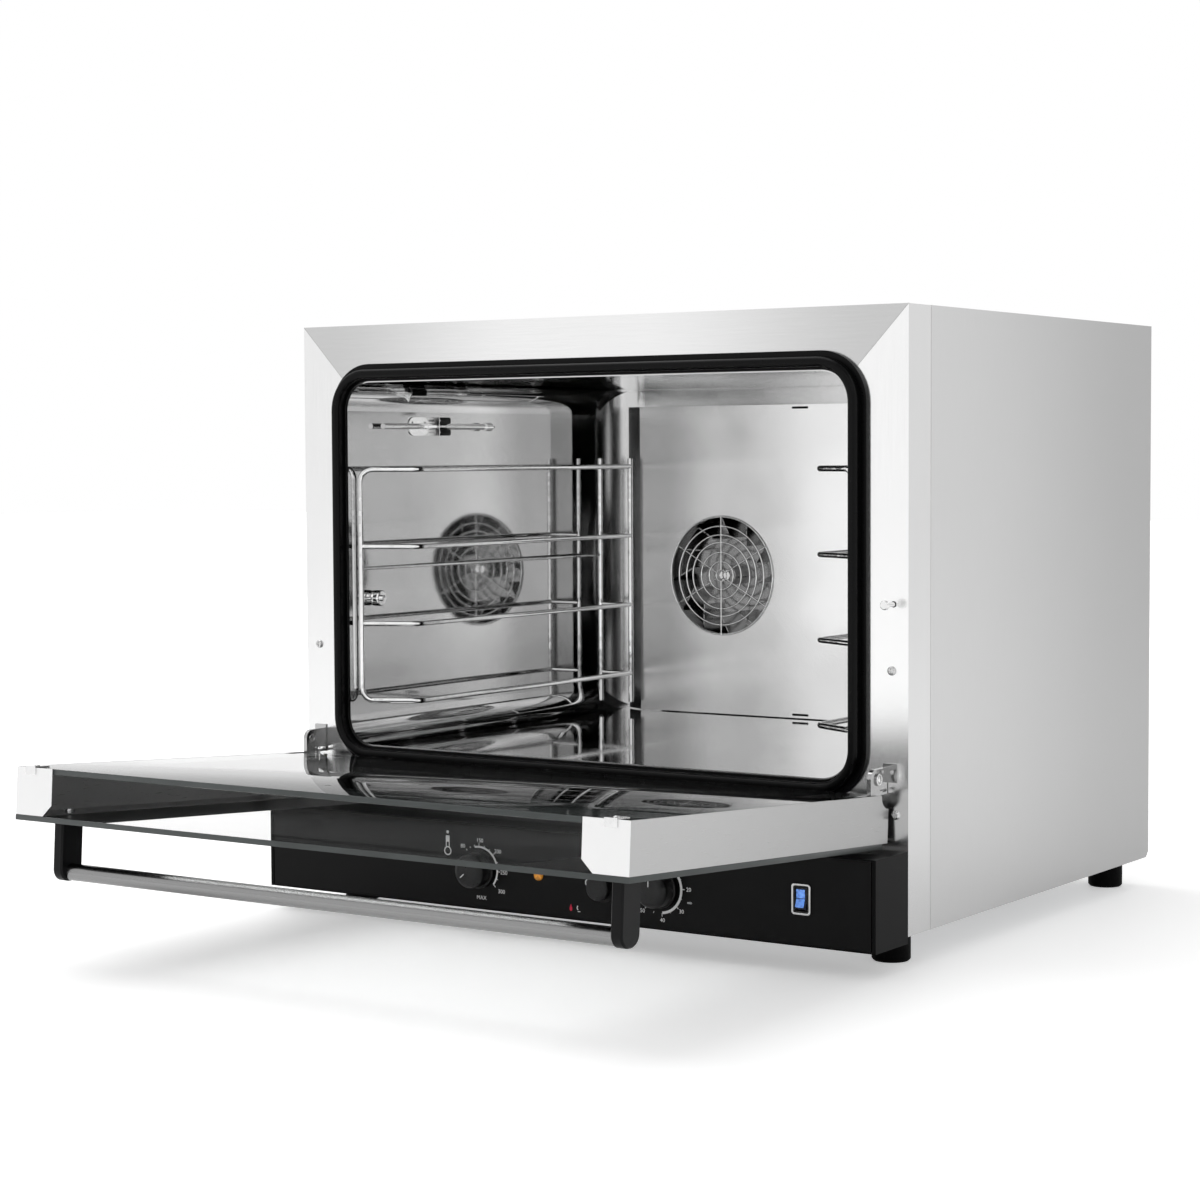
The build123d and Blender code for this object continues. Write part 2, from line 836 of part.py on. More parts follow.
# Wire side racks with four tray levels each
rack_wire = 2.75
runner_wire = 2.5
rung_wire = 2.2
post_wire = 3.0
rack_bend = 12.0
level_count = 4
first_level = 42.0
level_pitch = 77.2
runner_inset = 55.0
runner_front = 40.0
upright_inset = 4.0
upright_front = 12.0
runner_setback = 11.0
rear_post_inset = 14.5
rear_post_rise = 9.0
rear_post_foot = 9.5
brace_wire = 1.5
brace_rise = 174.0
eye_depth = 34.0
eye_rise = 144.0
eye_radius = 6.0
eye_wire = 2.0
eye_link_wire = 1.7
levels = [mouth_bottom + first_level + level * level_pitch for level in range(level_count)]
runner_rear = baffle_face - runner_setback
brace_height = mouth_bottom + brace_rise
eye_height = mouth_bottom + eye_rise
runner_x = mouth_half - runner_inset
upright_x = mouth_half - upright_inset
rear_post_x = mouth_half - rear_post_inset

for side, hand in hands:
    with BuildPart() as side_rack:
        wire(
            [
                at(side * runner_x, runner_rear, levels[-1]),
                at(side * runner_x, runner_front, levels[-1]),
                at(side * upright_x, upright_front, levels[-1]),
                at(side * upright_x, upright_front, levels[0]),
                at(side * runner_x, runner_front, levels[0]),
                at(side * runner_x, runner_rear, levels[0]),
            ],
            rack_wire,
            rack_bend,
        )
        for height in levels[1:-1]:
            wire(
                [
                    at(side * runner_x, runner_rear, height),
                    at(side * runner_x, runner_front, height),
                    at(side * upright_x, upright_front, height),
                ],
                runner_wire,
                rack_bend,
            )
        for height in levels:
            wire(
                [at(side * runner_x, runner_rear, height), at(side * rear_post_x, runner_rear, height)],
                rung_wire,
            )
        for x in (runner_x, rear_post_x):
            wire(
                [
                    at(side * x, runner_rear, mouth_bottom + rear_post_foot),
                    at(side * x, runner_rear, levels[-1] + rear_post_rise),
                ],
                post_wire,
            )
        wire(
            [
                at(side * upright_x, upright_front, brace_height),
                at(side * rear_post_x, runner_rear, brace_height),
            ],
            brace_wire,
        )
        wire(
            [
                at(side * upright_x, upright_front, eye_height),
                at(side * upright_x, eye_depth - eye_radius, eye_height),
            ],
            eye_link_wire,
        )
        with Locations(Plane(at(side * upright_x, eye_depth, eye_height), x_dir=(0, 1, 0), z_dir=(1, 0, 0))):
            Torus(eye_radius, eye_wire)
    side_rack.part.label = f"side_rack_{hand}"
    export_step(side_rack.part, f"parts/side_rack_{hand}.step")

# Studs on the cavity walls and the round nuts that hold the racks on them
rack_stud_radius = 3.0
rack_stud_length = 15.0
rack_collar_radius = 7.0
rack_collar_length = 1.7
rack_nut_radius = 8.0
rack_nut_length = 6.5
rack_nut_place = 6.2
rack_nut_bevel = 1.0
wall_half = mouth_half - bracket_wall_gap

with BuildPart() as rack_fixings:
    for side, hand in hands:
        rod(
            side_plane(side * (mouth_half - rack_nut_place)),
            (eye_depth, eye_height),
            rack_nut_radius,
            -side * rack_nut_length,
        )
    chamfer(rack_fixings.edges().filter_by(GeomType.CIRCLE), rack_nut_bevel)
    for side, hand in hands:
        rod(
            side_plane(side * (mouth_half - rack_nut_place)),
            (eye_depth, eye_height),
            rack_stud_radius + seat_clearance,
            -side * rack_nut_length,
            Mode.SUBTRACT,
        )
        for radius, length in (
            (rack_stud_radius, rack_stud_length),
            (rack_collar_radius, rack_collar_length),
        ):
            rod(side_plane(side * wall_half), (eye_depth, eye_height), radius, -side * length)
rack_fixings.part.label = "rack_fixings"
export_step(rack_fixings.part, "parts/rack_fixings.step")

# Control box shell, open at the front for the panel
control_flange = 2.3
panel_gap = 1.0
panel_edge_gap = 0.3
panel_sheet = 1.5
control_window_margin = 40.0
control_window_drop = 10.0
panel_half = half_width - sheet - control_flange - panel_gap
panel_low = control_bottom + sheet + panel_edge_gap
panel_top = control_top - sheet - panel_edge_gap
panel_back = control_depth - panel_sheet

with BuildPart() as control_box:
    slab(front_plane(), (-half_width, half_width), (control_bottom, control_top), control_depth)
    slab(
        front_plane(-sheet),
        (-(half_width - sheet), half_width - sheet),
        (control_bottom + sheet, control_top - sheet),
        control_depth - 2 * sheet,
        Mode.SUBTRACT,
    )
    slab(
        front_plane(-(control_depth - sheet)),
        (-(panel_half + panel_gap), panel_half + panel_gap),
        (control_bottom + sheet, control_top - sheet),
        sheet,
        Mode.SUBTRACT,
    )
    slab(
        front_plane(),
        (-(half_width - control_window_margin), half_width - control_window_margin),
        (foot_height + control_window_drop, control_top - control_window_drop),
        sheet,
        Mode.SUBTRACT,
    )
control_box.part.label = "control_box"
export_step(control_box.part, "parts/control_box.step")

# Places and sizes of the controls on the panel
control_row_drop = 2.5
control_row = control_middle - control_row_drop
thermostat_x = -81.0
timer_x = 122.0
lamp_x = -12.0
button_x = 60.0
button_drop = 4.0
rocker_x = 268.0
rocker_rise = 1.0
spindle_radius = 3.0
spindle_hole = 3.6
button_height = control_row - button_drop
rocker_height = control_middle + rocker_rise
button_stem = 5.0
switch_sleeve_radius = 9.0
lamp_radius = 3.9
rocker_body = (15.0, 23.0)
rocker_play = 0.2

with BuildPart() as control_panel:
    slab(front_plane(-panel_back), (-panel_half, panel_half), (panel_low, panel_top), panel_sheet)
    for x in (thermostat_x, timer_x):
        rod(front_plane(-panel_back), (x, control_row), spindle_hole, panel_sheet, Mode.SUBTRACT)
    rod(
        front_plane(-panel_back),
        (button_x, button_height),
        switch_sleeve_radius + slip,
        panel_sheet,
        Mode.SUBTRACT,
    )
    rod(front_plane(-panel_back), (lamp_x, control_row), lamp_radius + slip, panel_sheet, Mode.SUBTRACT)
    with BuildSketch(front_plane(-panel_back)):
        with Locations((rocker_x, rocker_height)):
            Rectangle(rocker_body[0] + 2 * rocker_play, rocker_body[1] + 2 * rocker_play)
    extrude(amount=panel_sheet, mode=Mode.SUBTRACT)
control_panel.part.label = "control_panel"
export_step(control_panel.part, "parts/control_panel.step")

# Thermostat and timer: body, turning spindle and knob
bushing_radius = 6.0
bushing_length = 8.0
body_width = 36.0
body_height = 30.0
body_length = 26.0
spindle_front = 76.0
spindle_back = 42.0
spindle_bore_back = 40.0
knob_gap = 2.0
knob_radius = 18.0
knob_skirt = 3.0
knob_bevel = 1.0
knob_grip_radius = 16.5
knob_grip_height = 15.0
knob_round = 6.0
pointer_width = 1.6
pointer_height = 0.6
pointer_end = 0.6
knob_back = control_depth + knob_gap
pointer_outer = knob_grip_radius - knob_round - pointer_end
pointer_length = pointer_outer - spindle_radius
pointer_place = (pointer_outer + spindle_radius) / 2

for name, x, rest_angle in (("thermostat", thermostat_x, 130.0), ("timer", timer_x, 0.0)):
    with BuildPart() as body:
        rod(front_plane(-(panel_back - bushing_length)), (x, control_row), bushing_radius, bushing_length)
        slab(
            front_plane(-(panel_back - bushing_length - body_length)),
            (x - body_width / 2, x + body_width / 2),
            (control_row - body_height / 2, control_row + body_height / 2),
            body_length,
        )
        rod(
            front_plane(-spindle_bore_back),
            (x, control_row),
            spindle_radius + running_clearance,
            panel_back - spindle_bore_back,
            Mode.SUBTRACT,
        )
    body.part.label = f"{name}_body"
    export_step(body.part, f"parts/{name}_body.step")

    with BuildPart() as spindle:
        rod(front_plane(-spindle_back), (x, control_row), spindle_radius, spindle_front - spindle_back)
    spindle.part.label = f"{name}_spindle"
    export_step(spindle.part, f"parts/{name}_spindle.step")

    with BuildPart() as knob:
        rod(front_plane(-knob_back), (x, control_row), knob_radius, knob_skirt)
        chamfer(knob.edges().group_by(Axis.Y)[0], knob_bevel)
        rod(front_plane(-(knob_back + knob_skirt)), (x, control_row), knob_grip_radius, knob_grip_height)
        fillet(knob.edges().group_by(Axis.Y)[0], knob_round)
        with BuildSketch(front_plane(-(knob_back + knob_skirt + knob_grip_height))) as pointer:
            with Locations(Location((x, control_row, 0), (0, 0, 90 + rest_angle))):
                with Locations((pointer_place, 0)):
                    SlotOverall(pointer_length, pointer_width)
        extrude(pointer.sketch, amount=pointer_height)
        extrude(pointer.sketch, amount=-pointer_height)
        rod(
            front_plane(-knob_back),
            (x, control_row),
            spindle_radius + seat_clearance,
            spindle_front + seat_clearance - knob_back,
            Mode.SUBTRACT,
        )
    knob.part.label = f"{name}_knob"
    export_step(knob.part, f"parts/{name}_knob.step")

# Push button and the switch behind it
button_radius = 12.0
button_travel = 3.5
button_flange_radius = 14.5
button_flange = 1.5
button_stop_gap = 1.0
button_cap = 6.5
button_round = 3.0
button_stem_back = 45.0
button_bore_back = 38.0
switch_sleeve_length = 6.0
switch_half_width = 12.0
switch_half_height = 10.0
switch_body_length = 20.0
button_back = control_depth + button_flange + button_stop_gap + button_travel

with BuildPart() as button_switch:
    rod(
        front_plane(-(panel_back - switch_sleeve_length)),
        (button_x, button_height),
        switch_sleeve_radius,
        control_depth + button_flange - panel_back + switch_sleeve_length,
    )
    rod(front_plane(-control_depth), (button_x, button_height), button_flange_radius, button_flange)
    slab(
        front_plane(-(panel_back - switch_sleeve_length - switch_body_length)),
        (button_x - switch_half_width, button_x + switch_half_width),
        (button_height - switch_half_height, button_height + switch_half_height),
        switch_body_length,
    )
    rod(
        front_plane(-button_bore_back),
        (button_x, button_height),
        button_stem + running_clearance,
        control_depth + button_flange - button_bore_back,
        Mode.SUBTRACT,
    )
button_switch.part.label = "button_switch"
export_step(button_switch.part, "parts/button_switch.step")

with BuildPart() as push_button:
    rod(front_plane(-button_back), (button_x, button_height), button_radius, button_cap)
    fillet(push_button.edges().group_by(Axis.Y)[0], button_round)
    rod(
        front_plane(-button_stem_back),
        (button_x, button_height),
        button_stem,
        button_back - button_stem_back,
    )
push_button.part.label = "push_button"
export_step(push_button.part, "parts/push_button.step")

# Pilot lamp
lens_radius = 4.8
lens_height = 2.6
lens_round = 1.8
lamp_back = 40.0

with BuildPart() as pilot_lamp:
    rod(front_plane(-control_depth), (lamp_x, control_row), lens_radius, lens_height)
    fillet(pilot_lamp.edges().group_by(Axis.Y)[0], lens_round)
    rod(front_plane(-lamp_back), (lamp_x, control_row), lamp_radius, control_depth - lamp_back)
pilot_lamp.part.label = "pilot_lamp"
export_step(pilot_lamp.part, "parts/pilot_lamp.step")

# Mains rocker switch: housing with its bezel, and the rocker on its two pins
bezel = (18.4, 26.8)
bezel_height = 2.0
bezel_corner = 2.6
rocker_well = (12.0, 20.6)
rocker_well_back = 50.0
rocker_housing_back = 36.0
rocker_pivot = 57.0
rocker_half_width = 5.7
rocker_half_height = 9.2
rocker_crown = 4.8
rocker_valley = 3.0
rocker_root = 4.0
rocker_root_half = 7.0
rocker_pin_radius = 1.5
rocker_pin_half = 7.2
rocker_tilt = math.radians(8.0)

with BuildPart() as rocker_housing:
    slab(
        front_plane(-rocker_housing_back),
        (rocker_x - rocker_body[0] / 2, rocker_x + rocker_body[0] / 2),
        (rocker_height - rocker_body[1] / 2, rocker_height + rocker_body[1] / 2),
        control_depth + bezel_height - rocker_housing_back,
    )
    with BuildSketch(front_plane(-control_depth)) as bezel_outline:
        with Locations((rocker_x, rocker_height)):
            RectangleRounded(*bezel, bezel_corner)
    extrude(bezel_outline.sketch, amount=bezel_height)
    slab(
        front_plane(-rocker_well_back),
        (rocker_x - rocker_well[0] / 2, rocker_x + rocker_well[0] / 2),
        (rocker_height - rocker_well[1] / 2, rocker_height + rocker_well[1] / 2),
        control_depth + bezel_height - rocker_well_back,
        Mode.SUBTRACT,
    )
    rod(
        side_plane(rocker_x - rocker_body[0] / 2),
        (-rocker_pivot, rocker_height),
        rocker_pin_radius + running_clearance,
        rocker_body[0],
        Mode.SUBTRACT,
    )
rocker_housing.part.label = "rocker_housing"
export_step(rocker_housing.part, "parts/rocker_housing.step")

rocker_out = Vector(0, -math.cos(rocker_tilt), math.sin(rocker_tilt))
with BuildPart() as rocker:
    rocker_plane = Plane(
        at(rocker_x + rocker_half_width, -rocker_pivot, rocker_height), x_dir=rocker_out, z_dir=(-1, 0, 0)
    )
    with BuildSketch(rocker_plane):
        Polygon(
            (-rocker_root, -rocker_root_half),
            (0, -rocker_half_height),
            (rocker_crown, -rocker_half_height),
            (rocker_valley, 0),
            (rocker_crown, rocker_half_height),
            (0, rocker_half_height),
            (-rocker_root, rocker_root_half),
            align=None,
        )
    extrude(amount=2 * rocker_half_width)
    rod(
        side_plane(rocker_x - rocker_pin_half),
        (-rocker_pivot, rocker_height),
        rocker_pin_radius,
        2 * rocker_pin_half,
    )
rocker.part.label = "rocker"
export_step(rocker.part, "parts/rocker.step")

# Door switch behind the right stile, and the plunger that the closed door pushes in
door_switch_half_width = 7.0
door_switch_low = 20.0
door_switch_rise = 15.0
door_switch_length = 30.0
plunger_front = 15.0
plunger_head_radius = 4.2
plunger_head = 3.0
plunger_round = 1.2
plunger_back = 18.0
plunger_bore_back = 26.0

with BuildPart() as door_switch:
    slab(
        front_plane(sheet + door_switch_length),
        (plunger_x - door_switch_half_width, plunger_x + door_switch_half_width),
        (plunger_height - door_switch_low, plunger_height + door_switch_rise),
        door_switch_length,
    )
    rod(
        front_plane(plunger_bore_back),
        (plunger_x, plunger_height),
        plunger_radius + running_clearance,
        plunger_bore_back - sheet,
        Mode.SUBTRACT,
    )
door_switch.part.label = "door_switch"
export_step(door_switch.part, "parts/door_switch.step")

with BuildPart() as door_switch_plunger:
    rod(front_plane(-plunger_front), (plunger_x, plunger_height), plunger_head_radius, plunger_head)
    fillet(door_switch_plunger.edges().group_by(Axis.Y)[0], plunger_round)
    rod(front_plane(plunger_back), (plunger_x, plunger_height), plunger_radius, plunger_back + plunger_front)
door_switch_plunger.part.label = "door_switch_plunger"
export_step(door_switch_plunger.part, "parts/door_switch_plunger.step")

# Hinge arms, hooked into the front frame
arm_root = 22.0
arm_front = 9.0
arm_eye_radius = 9.0
arm_corner = 8.0
pin_radius = 4.0
boss_radius = 5.5
boss_height = 1.5
boss_behind_pin = 4.0
boss_above_pin = 21.0
foot_slot_length = 12.0
foot_slot_width = 2.5
foot_slot_depth = -8.0
foot_slot_rise = 10.5
tab_low = 17.0
tab_top = 33.5
tab_width = 10.0
tab_sheet = 1.5
tab_hole_radius = 2.0
tab_hole_rise = 26.0
arm_middle = (arm_root - pivot_ahead - arm_front) / 2

for side, hand in hands:
    with BuildPart() as hinge_arm:
        with BuildSketch(side_plane(side * arm_inner)) as outline:
            with Locations((arm_middle, pivot_height + (arm_low + arm_top) / 2)):
                Rectangle(arm_root + pivot_ahead + arm_front, arm_top - arm_low)
            with Locations((-pivot_ahead, pivot_height + arm_low / 2)):
                Rectangle(2 * arm_front, arm_low)
            with Locations((-pivot_ahead, pivot_height)):
                Circle(arm_eye_radius)
            fillet(outline.vertices().group_by(Axis.Y)[-1].sort_by(Axis.X)[0], arm_corner)
            with Locations((-pivot_ahead, pivot_height)):
                Circle(pin_radius + running_clearance, mode=Mode.SUBTRACT)
            with Locations((foot_slot_depth, pivot_height + foot_slot_rise)):
                SlotOverall(foot_slot_length, foot_slot_width, mode=Mode.SUBTRACT)
        extrude(amount=side * arm_thickness)
        rod(
            side_plane(side * arm_outer),
            (boss_behind_pin - pivot_ahead, pivot_height + boss_above_pin),
            boss_radius,
            side * boss_height,
        )
        slab(
            front_plane(),
            (side * arm_inner, side * (arm_outer + tab_width)),
            (pivot_height + tab_low, pivot_height + tab_top),
            tab_sheet,
        )
        rod(
            front_plane(),
            (side * (arm_outer + tab_width / 2), pivot_height + tab_hole_rise),
            tab_hole_radius,
            tab_sheet,
            Mode.SUBTRACT,
        )
    hinge_arm.part.label = f"hinge_arm_{hand}"
    export_step(hinge_arm.part, f"parts/hinge_arm_{hand}.step")

# Places of the handle's brackets and bolts on the door
bracket_width = 11.0
bracket_depth = 26.0
bracket_setback = 25.0
bracket_inset = 21.5
bolt_radius = 2.5
bolt_hole_radius = 3.2
bolt_length = 18.0
bolt_head_radius = 5.0
bolt_head_height = 3.5
bracket_half = door_half - bracket_inset - bracket_width / 2
bracket_along = door_reach - bracket_setback - bracket_depth / 2

# Door side channels, open towards the middle and closed at the free end
channel_flange = 43.5
channel_low_flange = 33.0
end_cut_up = 10.0
notch_width = 15.5
notch_reach = 40.0
pane_tail = 5.5
bite_radius = 12.0
bite_along = -16.0
pane_seat = pane_rise - pane_thickness
web_inner = door_half - sheet
notch_x = door_half - notch_width

for side, hand in hands:
    with BuildPart() as door_channel:
        slab(
            door_end_plane(-channel_tail),
            (side * web_inner, side * door_half),
            (channel_floor, pane_rise),
            channel_tail + door_reach,
        )
        slab(
            door_end_plane(-channel_tail),
            (side * (door_half - channel_low_flange), side * web_inner),
            (channel_floor, channel_floor + sheet),
            channel_tail + door_reach,
        )
        slab(
            door_end_plane(notch_reach),
            (side * (door_half - channel_flange), side * web_inner),
            (pane_seat - sheet, pane_seat),
            door_reach - notch_reach,
        )
        slab(
            door_end_plane(-pane_tail),
            (side * (door_half - channel_flange), side * notch_x),
            (pane_seat - sheet, pane_seat),
            notch_reach + pane_tail,
        )
        with BuildSketch(door_end_plane(door_reach - sheet)):
            Polygon(
                (side * door_half, channel_floor),
                (side * door_half, pane_rise),
                (side * (door_half - channel_flange), pane_rise),
                (side * (door_half - channel_flange), channel_floor + end_cut_up),
                (side * (door_half - channel_low_flange), channel_floor),
                align=None,
            )
        extrude(amount=sheet)
        rod(
            door_side_plane(side * web_inner),
            (bite_along, pane_rise),
            bite_radius,
            -side * sheet,
            Mode.SUBTRACT,
        )
        rod(
            door_flat_plane(channel_floor),
            (side * bracket_half, -bracket_along),
            bolt_hole_radius,
            sheet,
            Mode.SUBTRACT,
        )
    door_channel.part.label = f"door_channel_{hand}"
    export_step(door_channel.part, f"parts/door_channel_{hand}.step")

# Hinge bodies inside the channels, one cheek each beside the arm
cheek_gap = 0.7
cheek_width = 5.8
cheek_tail = 14.0
cheek_rise = 7.0
cheek_step_along = 36.0
cheek_reach = 70.0
cheek_low_rise = 1.0
hinge_floor = 3.0
cheek_outer = arm_inner - cheek_gap
cheek_inner = cheek_outer - cheek_width
hinge_floor_low = channel_floor + sheet + slip

for side, hand in hands:
    with BuildPart() as hinge_body:
        with BuildSketch(door_side_plane(side * cheek_inner)) as outline:
            Polygon(
                (-cheek_tail, hinge_floor_low),
                (cheek_reach, hinge_floor_low),
                (cheek_reach, cheek_low_rise),
                (cheek_step_along, cheek_low_rise),
                (cheek_step_along, cheek_rise),
                (-pane_tail, cheek_rise),
                (-cheek_tail, 0),
                align=None,
            )
            Circle(pin_radius + seat_clearance, mode=Mode.SUBTRACT)
        extrude(amount=-side * cheek_width)
        slab(
            door_end_plane(-cheek_tail),
            (side * cheek_inner, side * (web_inner - slip)),
            (hinge_floor_low, hinge_floor_low + hinge_floor),
            cheek_tail + cheek_reach,
        )
    hinge_body.part.label = f"hinge_body_{hand}"
    export_step(hinge_body.part, f"parts/hinge_body_{hand}.step")

with BuildPart() as hinge_pins:
    for side, hand in hands:
        rod(
            door_side_plane(side * cheek_inner),
            (0, 0),
            pin_radius,
            -side * (web_inner - slip - cheek_inner),
        )
hinge_pins.part.label = "hinge_pins"
export_step(hinge_pins.part, "parts/hinge_pins.step")

# Inner pane, notched at the hinges
pane_edge_gap = 1.0
pane_front = door_reach - sheet - slip
inner_pane_half = web_inner - pane_edge_gap

with BuildPart() as inner_pane:
    slab(
        door_end_plane(-pane_tail),
        (-inner_pane_half, inner_pane_half),
        (pane_seat, pane_rise),
        pane_tail + pane_front,
    )
    for side, hand in hands:
        slab(
            door_end_plane(-pane_tail),
            (side * notch_x, side * inner_pane_half),
            (pane_seat, pane_rise),
            pane_tail + notch_reach,
            Mode.SUBTRACT,
        )
inner_pane.part.label = "inner_pane"
export_step(inner_pane.part, "parts/inner_pane.step")

# Outer pane with the handle's bolt holes
with BuildPart() as outer_pane:
    slab(
        door_end_plane(-outer_pane_tail),
        (-door_half, door_half),
        (outer_pane_face, channel_floor),
        outer_pane_tail + door_reach + outer_pane_lip,
    )
    for side, hand in hands:
        rod(
            door_flat_plane(outer_pane_face),
            (side * bracket_half, -bracket_along),
            bolt_hole_radius,
            pane_thickness,
            Mode.SUBTRACT,
        )
outer_pane.part.label = "outer_pane"
export_step(outer_pane.part, "parts/outer_pane.step")

# Clips that hold the inner pane at the free corners
clip_width = 12.0
clip_inset = 17.5
clip_length = 16.0
clip_sheet = 1.0
clip_drop = 6.0
clip_gap = 0.1
clip_half = door_half - clip_inset

with BuildPart() as pane_clips:
    for side, hand in hands:
        slab(
            door_end_plane(door_reach - clip_length),
            (side * (clip_half - clip_width / 2), side * (clip_half + clip_width / 2)),
            (pane_rise + clip_gap, pane_rise + clip_gap + clip_sheet),
            clip_length + clip_gap + clip_sheet,
        )
        slab(
            door_end_plane(door_reach + clip_gap),
            (side * (clip_half - clip_width / 2), side * (clip_half + clip_width / 2)),
            (pane_rise - clip_drop, pane_rise + clip_gap + clip_sheet),
            clip_sheet,
        )
pane_clips.part.label = "pane_clips"
export_step(pane_clips.part, "parts/pane_clips.step")

# Handle: two brackets, a tube between them and the bolts through the outer pane
bracket_drop = 54.0
bracket_round = 11.0
bracket_bevel = 1.5
tube_radius = 7.5
tube_wall = 1.5
tube_below_pivot = 85.5
spigot_length = 6.0
spigot_gap = 0.1
bracket_low = outer_pane_face - bracket_drop

for side, hand in hands:
    with BuildPart() as handle_bracket:
        bracket_face = side * (bracket_half - bracket_width / 2)
        with BuildSketch(door_side_plane(bracket_face)) as outline:
            with Locations((bracket_along, (bracket_low + outer_pane_face) / 2)):
                Rectangle(bracket_depth, bracket_drop)
            fillet(outline.vertices().group_by(Axis.Y)[0], bracket_round)
        extrude(amount=-side * bracket_width)
        chamfer(handle_bracket.faces().filter_by(Axis.X).edges().filter_by(GeomType.CIRCLE), bracket_bevel)
        rod(
            door_side_plane(bracket_face),
            (bracket_along, -tube_below_pivot),
            tube_radius - tube_wall - spigot_gap,
            side * spigot_length,
        )
        rod(
            door_flat_plane(outer_pane_face),
            (side * bracket_half, -bracket_along),
            bolt_radius + seat_clearance,
            -bolt_length,
            Mode.SUBTRACT,
        )
    handle_bracket.part.label = f"handle_bracket_{hand}"
    export_step(handle_bracket.part, f"parts/handle_bracket_{hand}.step")

with BuildPart() as handle_tube:
    tube_half = bracket_half - bracket_width / 2 - spigot_gap
    rod(door_side_plane(tube_half), (bracket_along, -tube_below_pivot), tube_radius, 2 * tube_half)
    rod(
        door_side_plane(tube_half),
        (bracket_along, -tube_below_pivot),
        tube_radius - tube_wall,
        2 * tube_half,
        Mode.SUBTRACT,
    )
handle_tube.part.label = "handle_tube"
export_step(handle_tube.part, "parts/handle_tube.step")

with BuildPart() as handle_bolts:
    for side, hand in hands:
        pan_head_screw(
            door_flat_plane(channel_floor + sheet),
            (side * bracket_half, -bracket_along),
            bolt_head_radius,
            bolt_head_height,
            bolt_radius,
            sheet + pane_thickness + bolt_length - slip,
        )
handle_bolts.part.label = "handle_bolts"
export_step(handle_bolts.part, "parts/handle_bolts.step")

# Screws of the front frame, the rear panel and the fan baffle, and the nuts on the foot studs
rear_screw_head = 3.2
rear_screw_head_height = 1.8
rear_screw_length = 8.0

with BuildPart() as cabinet_screws:
    for side, hand in hands:
        for inset, height in zip(frame_screw_insets, frame_screw_heights):
            pan_head_screw(
                front_plane(),
                (side * (half_width - inset), height),
                frame_screw_head,
                frame_screw_head_height,
                frame_screw_radius,
                frame_screw_length,
            )
        for height in rear_screw_heights:
            pan_head_screw(
                rear_plane(cabinet_depth),
                (side * (half_width - rear_screw_inset), height),
                rear_screw_head,
                rear_screw_head_height,
                rear_screw_radius,
                rear_screw_length,
            )
        for depth in (front_foot_depth, rear_foot_depth):
            nut(level_plane(foot_height + sheet), (side * foot_half, depth), foot_nut_width, foot_nut_height)
            rod(
                level_plane(foot_height + sheet),
                (side * foot_half, depth),
                stud_radius + seat_clearance,
                foot_nut_height,
                Mode.SUBTRACT,
            )
    for height in tab_places:
        pan_head_screw(
            front_plane(leg_end - baffle_sheet),
            (0, height),
            frame_screw_head,
            frame_screw_head_height,
            frame_screw_radius,
            baffle_sheet + slip + liner_wall,
        )
cabinet_screws.part.label = "cabinet_screws"
export_step(cabinet_screws.part, "parts/cabinet_screws.step")
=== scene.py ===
import json
import math

import bmesh
import bpy
from mathutils import Matrix, Vector


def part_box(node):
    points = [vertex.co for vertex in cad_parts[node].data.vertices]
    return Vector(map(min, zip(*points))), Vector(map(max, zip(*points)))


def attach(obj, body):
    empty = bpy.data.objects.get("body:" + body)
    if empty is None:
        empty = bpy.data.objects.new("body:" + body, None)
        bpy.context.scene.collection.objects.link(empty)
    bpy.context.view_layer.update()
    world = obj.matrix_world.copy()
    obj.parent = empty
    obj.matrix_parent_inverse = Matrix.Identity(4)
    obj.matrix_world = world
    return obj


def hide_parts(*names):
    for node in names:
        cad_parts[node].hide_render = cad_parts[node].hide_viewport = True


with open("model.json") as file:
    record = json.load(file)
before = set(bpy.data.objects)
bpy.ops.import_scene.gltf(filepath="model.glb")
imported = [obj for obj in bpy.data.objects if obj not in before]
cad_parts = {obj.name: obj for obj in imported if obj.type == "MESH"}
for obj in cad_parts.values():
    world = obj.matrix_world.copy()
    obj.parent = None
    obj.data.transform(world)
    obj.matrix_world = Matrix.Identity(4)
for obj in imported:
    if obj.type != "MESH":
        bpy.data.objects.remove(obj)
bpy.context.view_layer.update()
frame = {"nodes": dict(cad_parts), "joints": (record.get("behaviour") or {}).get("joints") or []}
cad = frame["nodes"]
scene = bpy.context.scene
scene.view_settings.view_transform = "Standard"

# Places that the CAD gives, in metres
fascia_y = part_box("front_header")[0].y
panel_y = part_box("control_panel")[0].y
hinge = next(joint for joint in frame["joints"] if joint["name"] == "door_hinge")
pivot = Vector(hinge["pos_m"])
door_tilt = math.radians(3.7)
door_along = Vector((0, -math.cos(door_tilt), math.sin(door_tilt)))
door_up = Vector((0, math.sin(door_tilt), math.cos(door_tilt)))

# Shapes below are written in millimetres: depths behind the front frame, heights above the floor
pivot_height = 1000 * pivot.z
mouth_top = 523.5
mouth_bottom = pivot_height + 16.5
half_width = 340.0
cabinet_depth = 540.0
door_half = 323.5
door_reach = mouth_top + 15.0 - pivot_height
control_row = 62.0
thermostat_x = -81.0
timer_x = 122.0
button_place = (60.0, 58.0)
rocker_place = (268.0, 65.5)
print_thickness = 0.1


def facing(origin, right, up):
    """Level in metres whose x and y run right and up, for a shape in millimetres."""
    right = Vector(right)
    up = Vector(up)
    axes = Matrix((right, up, right.cross(up))).transposed().to_4x4()
    return Matrix.Translation(origin) @ axes @ Matrix.Scale(0.001, 4)


def front_level(depth):
    return facing((0, fascia_y + 0.001 * depth, 0), (1, 0, 0), (0, 0, 1))


def rear_level(depth):
    return facing((0, fascia_y + 0.001 * depth, 0), (-1, 0, 0), (0, 0, 1))


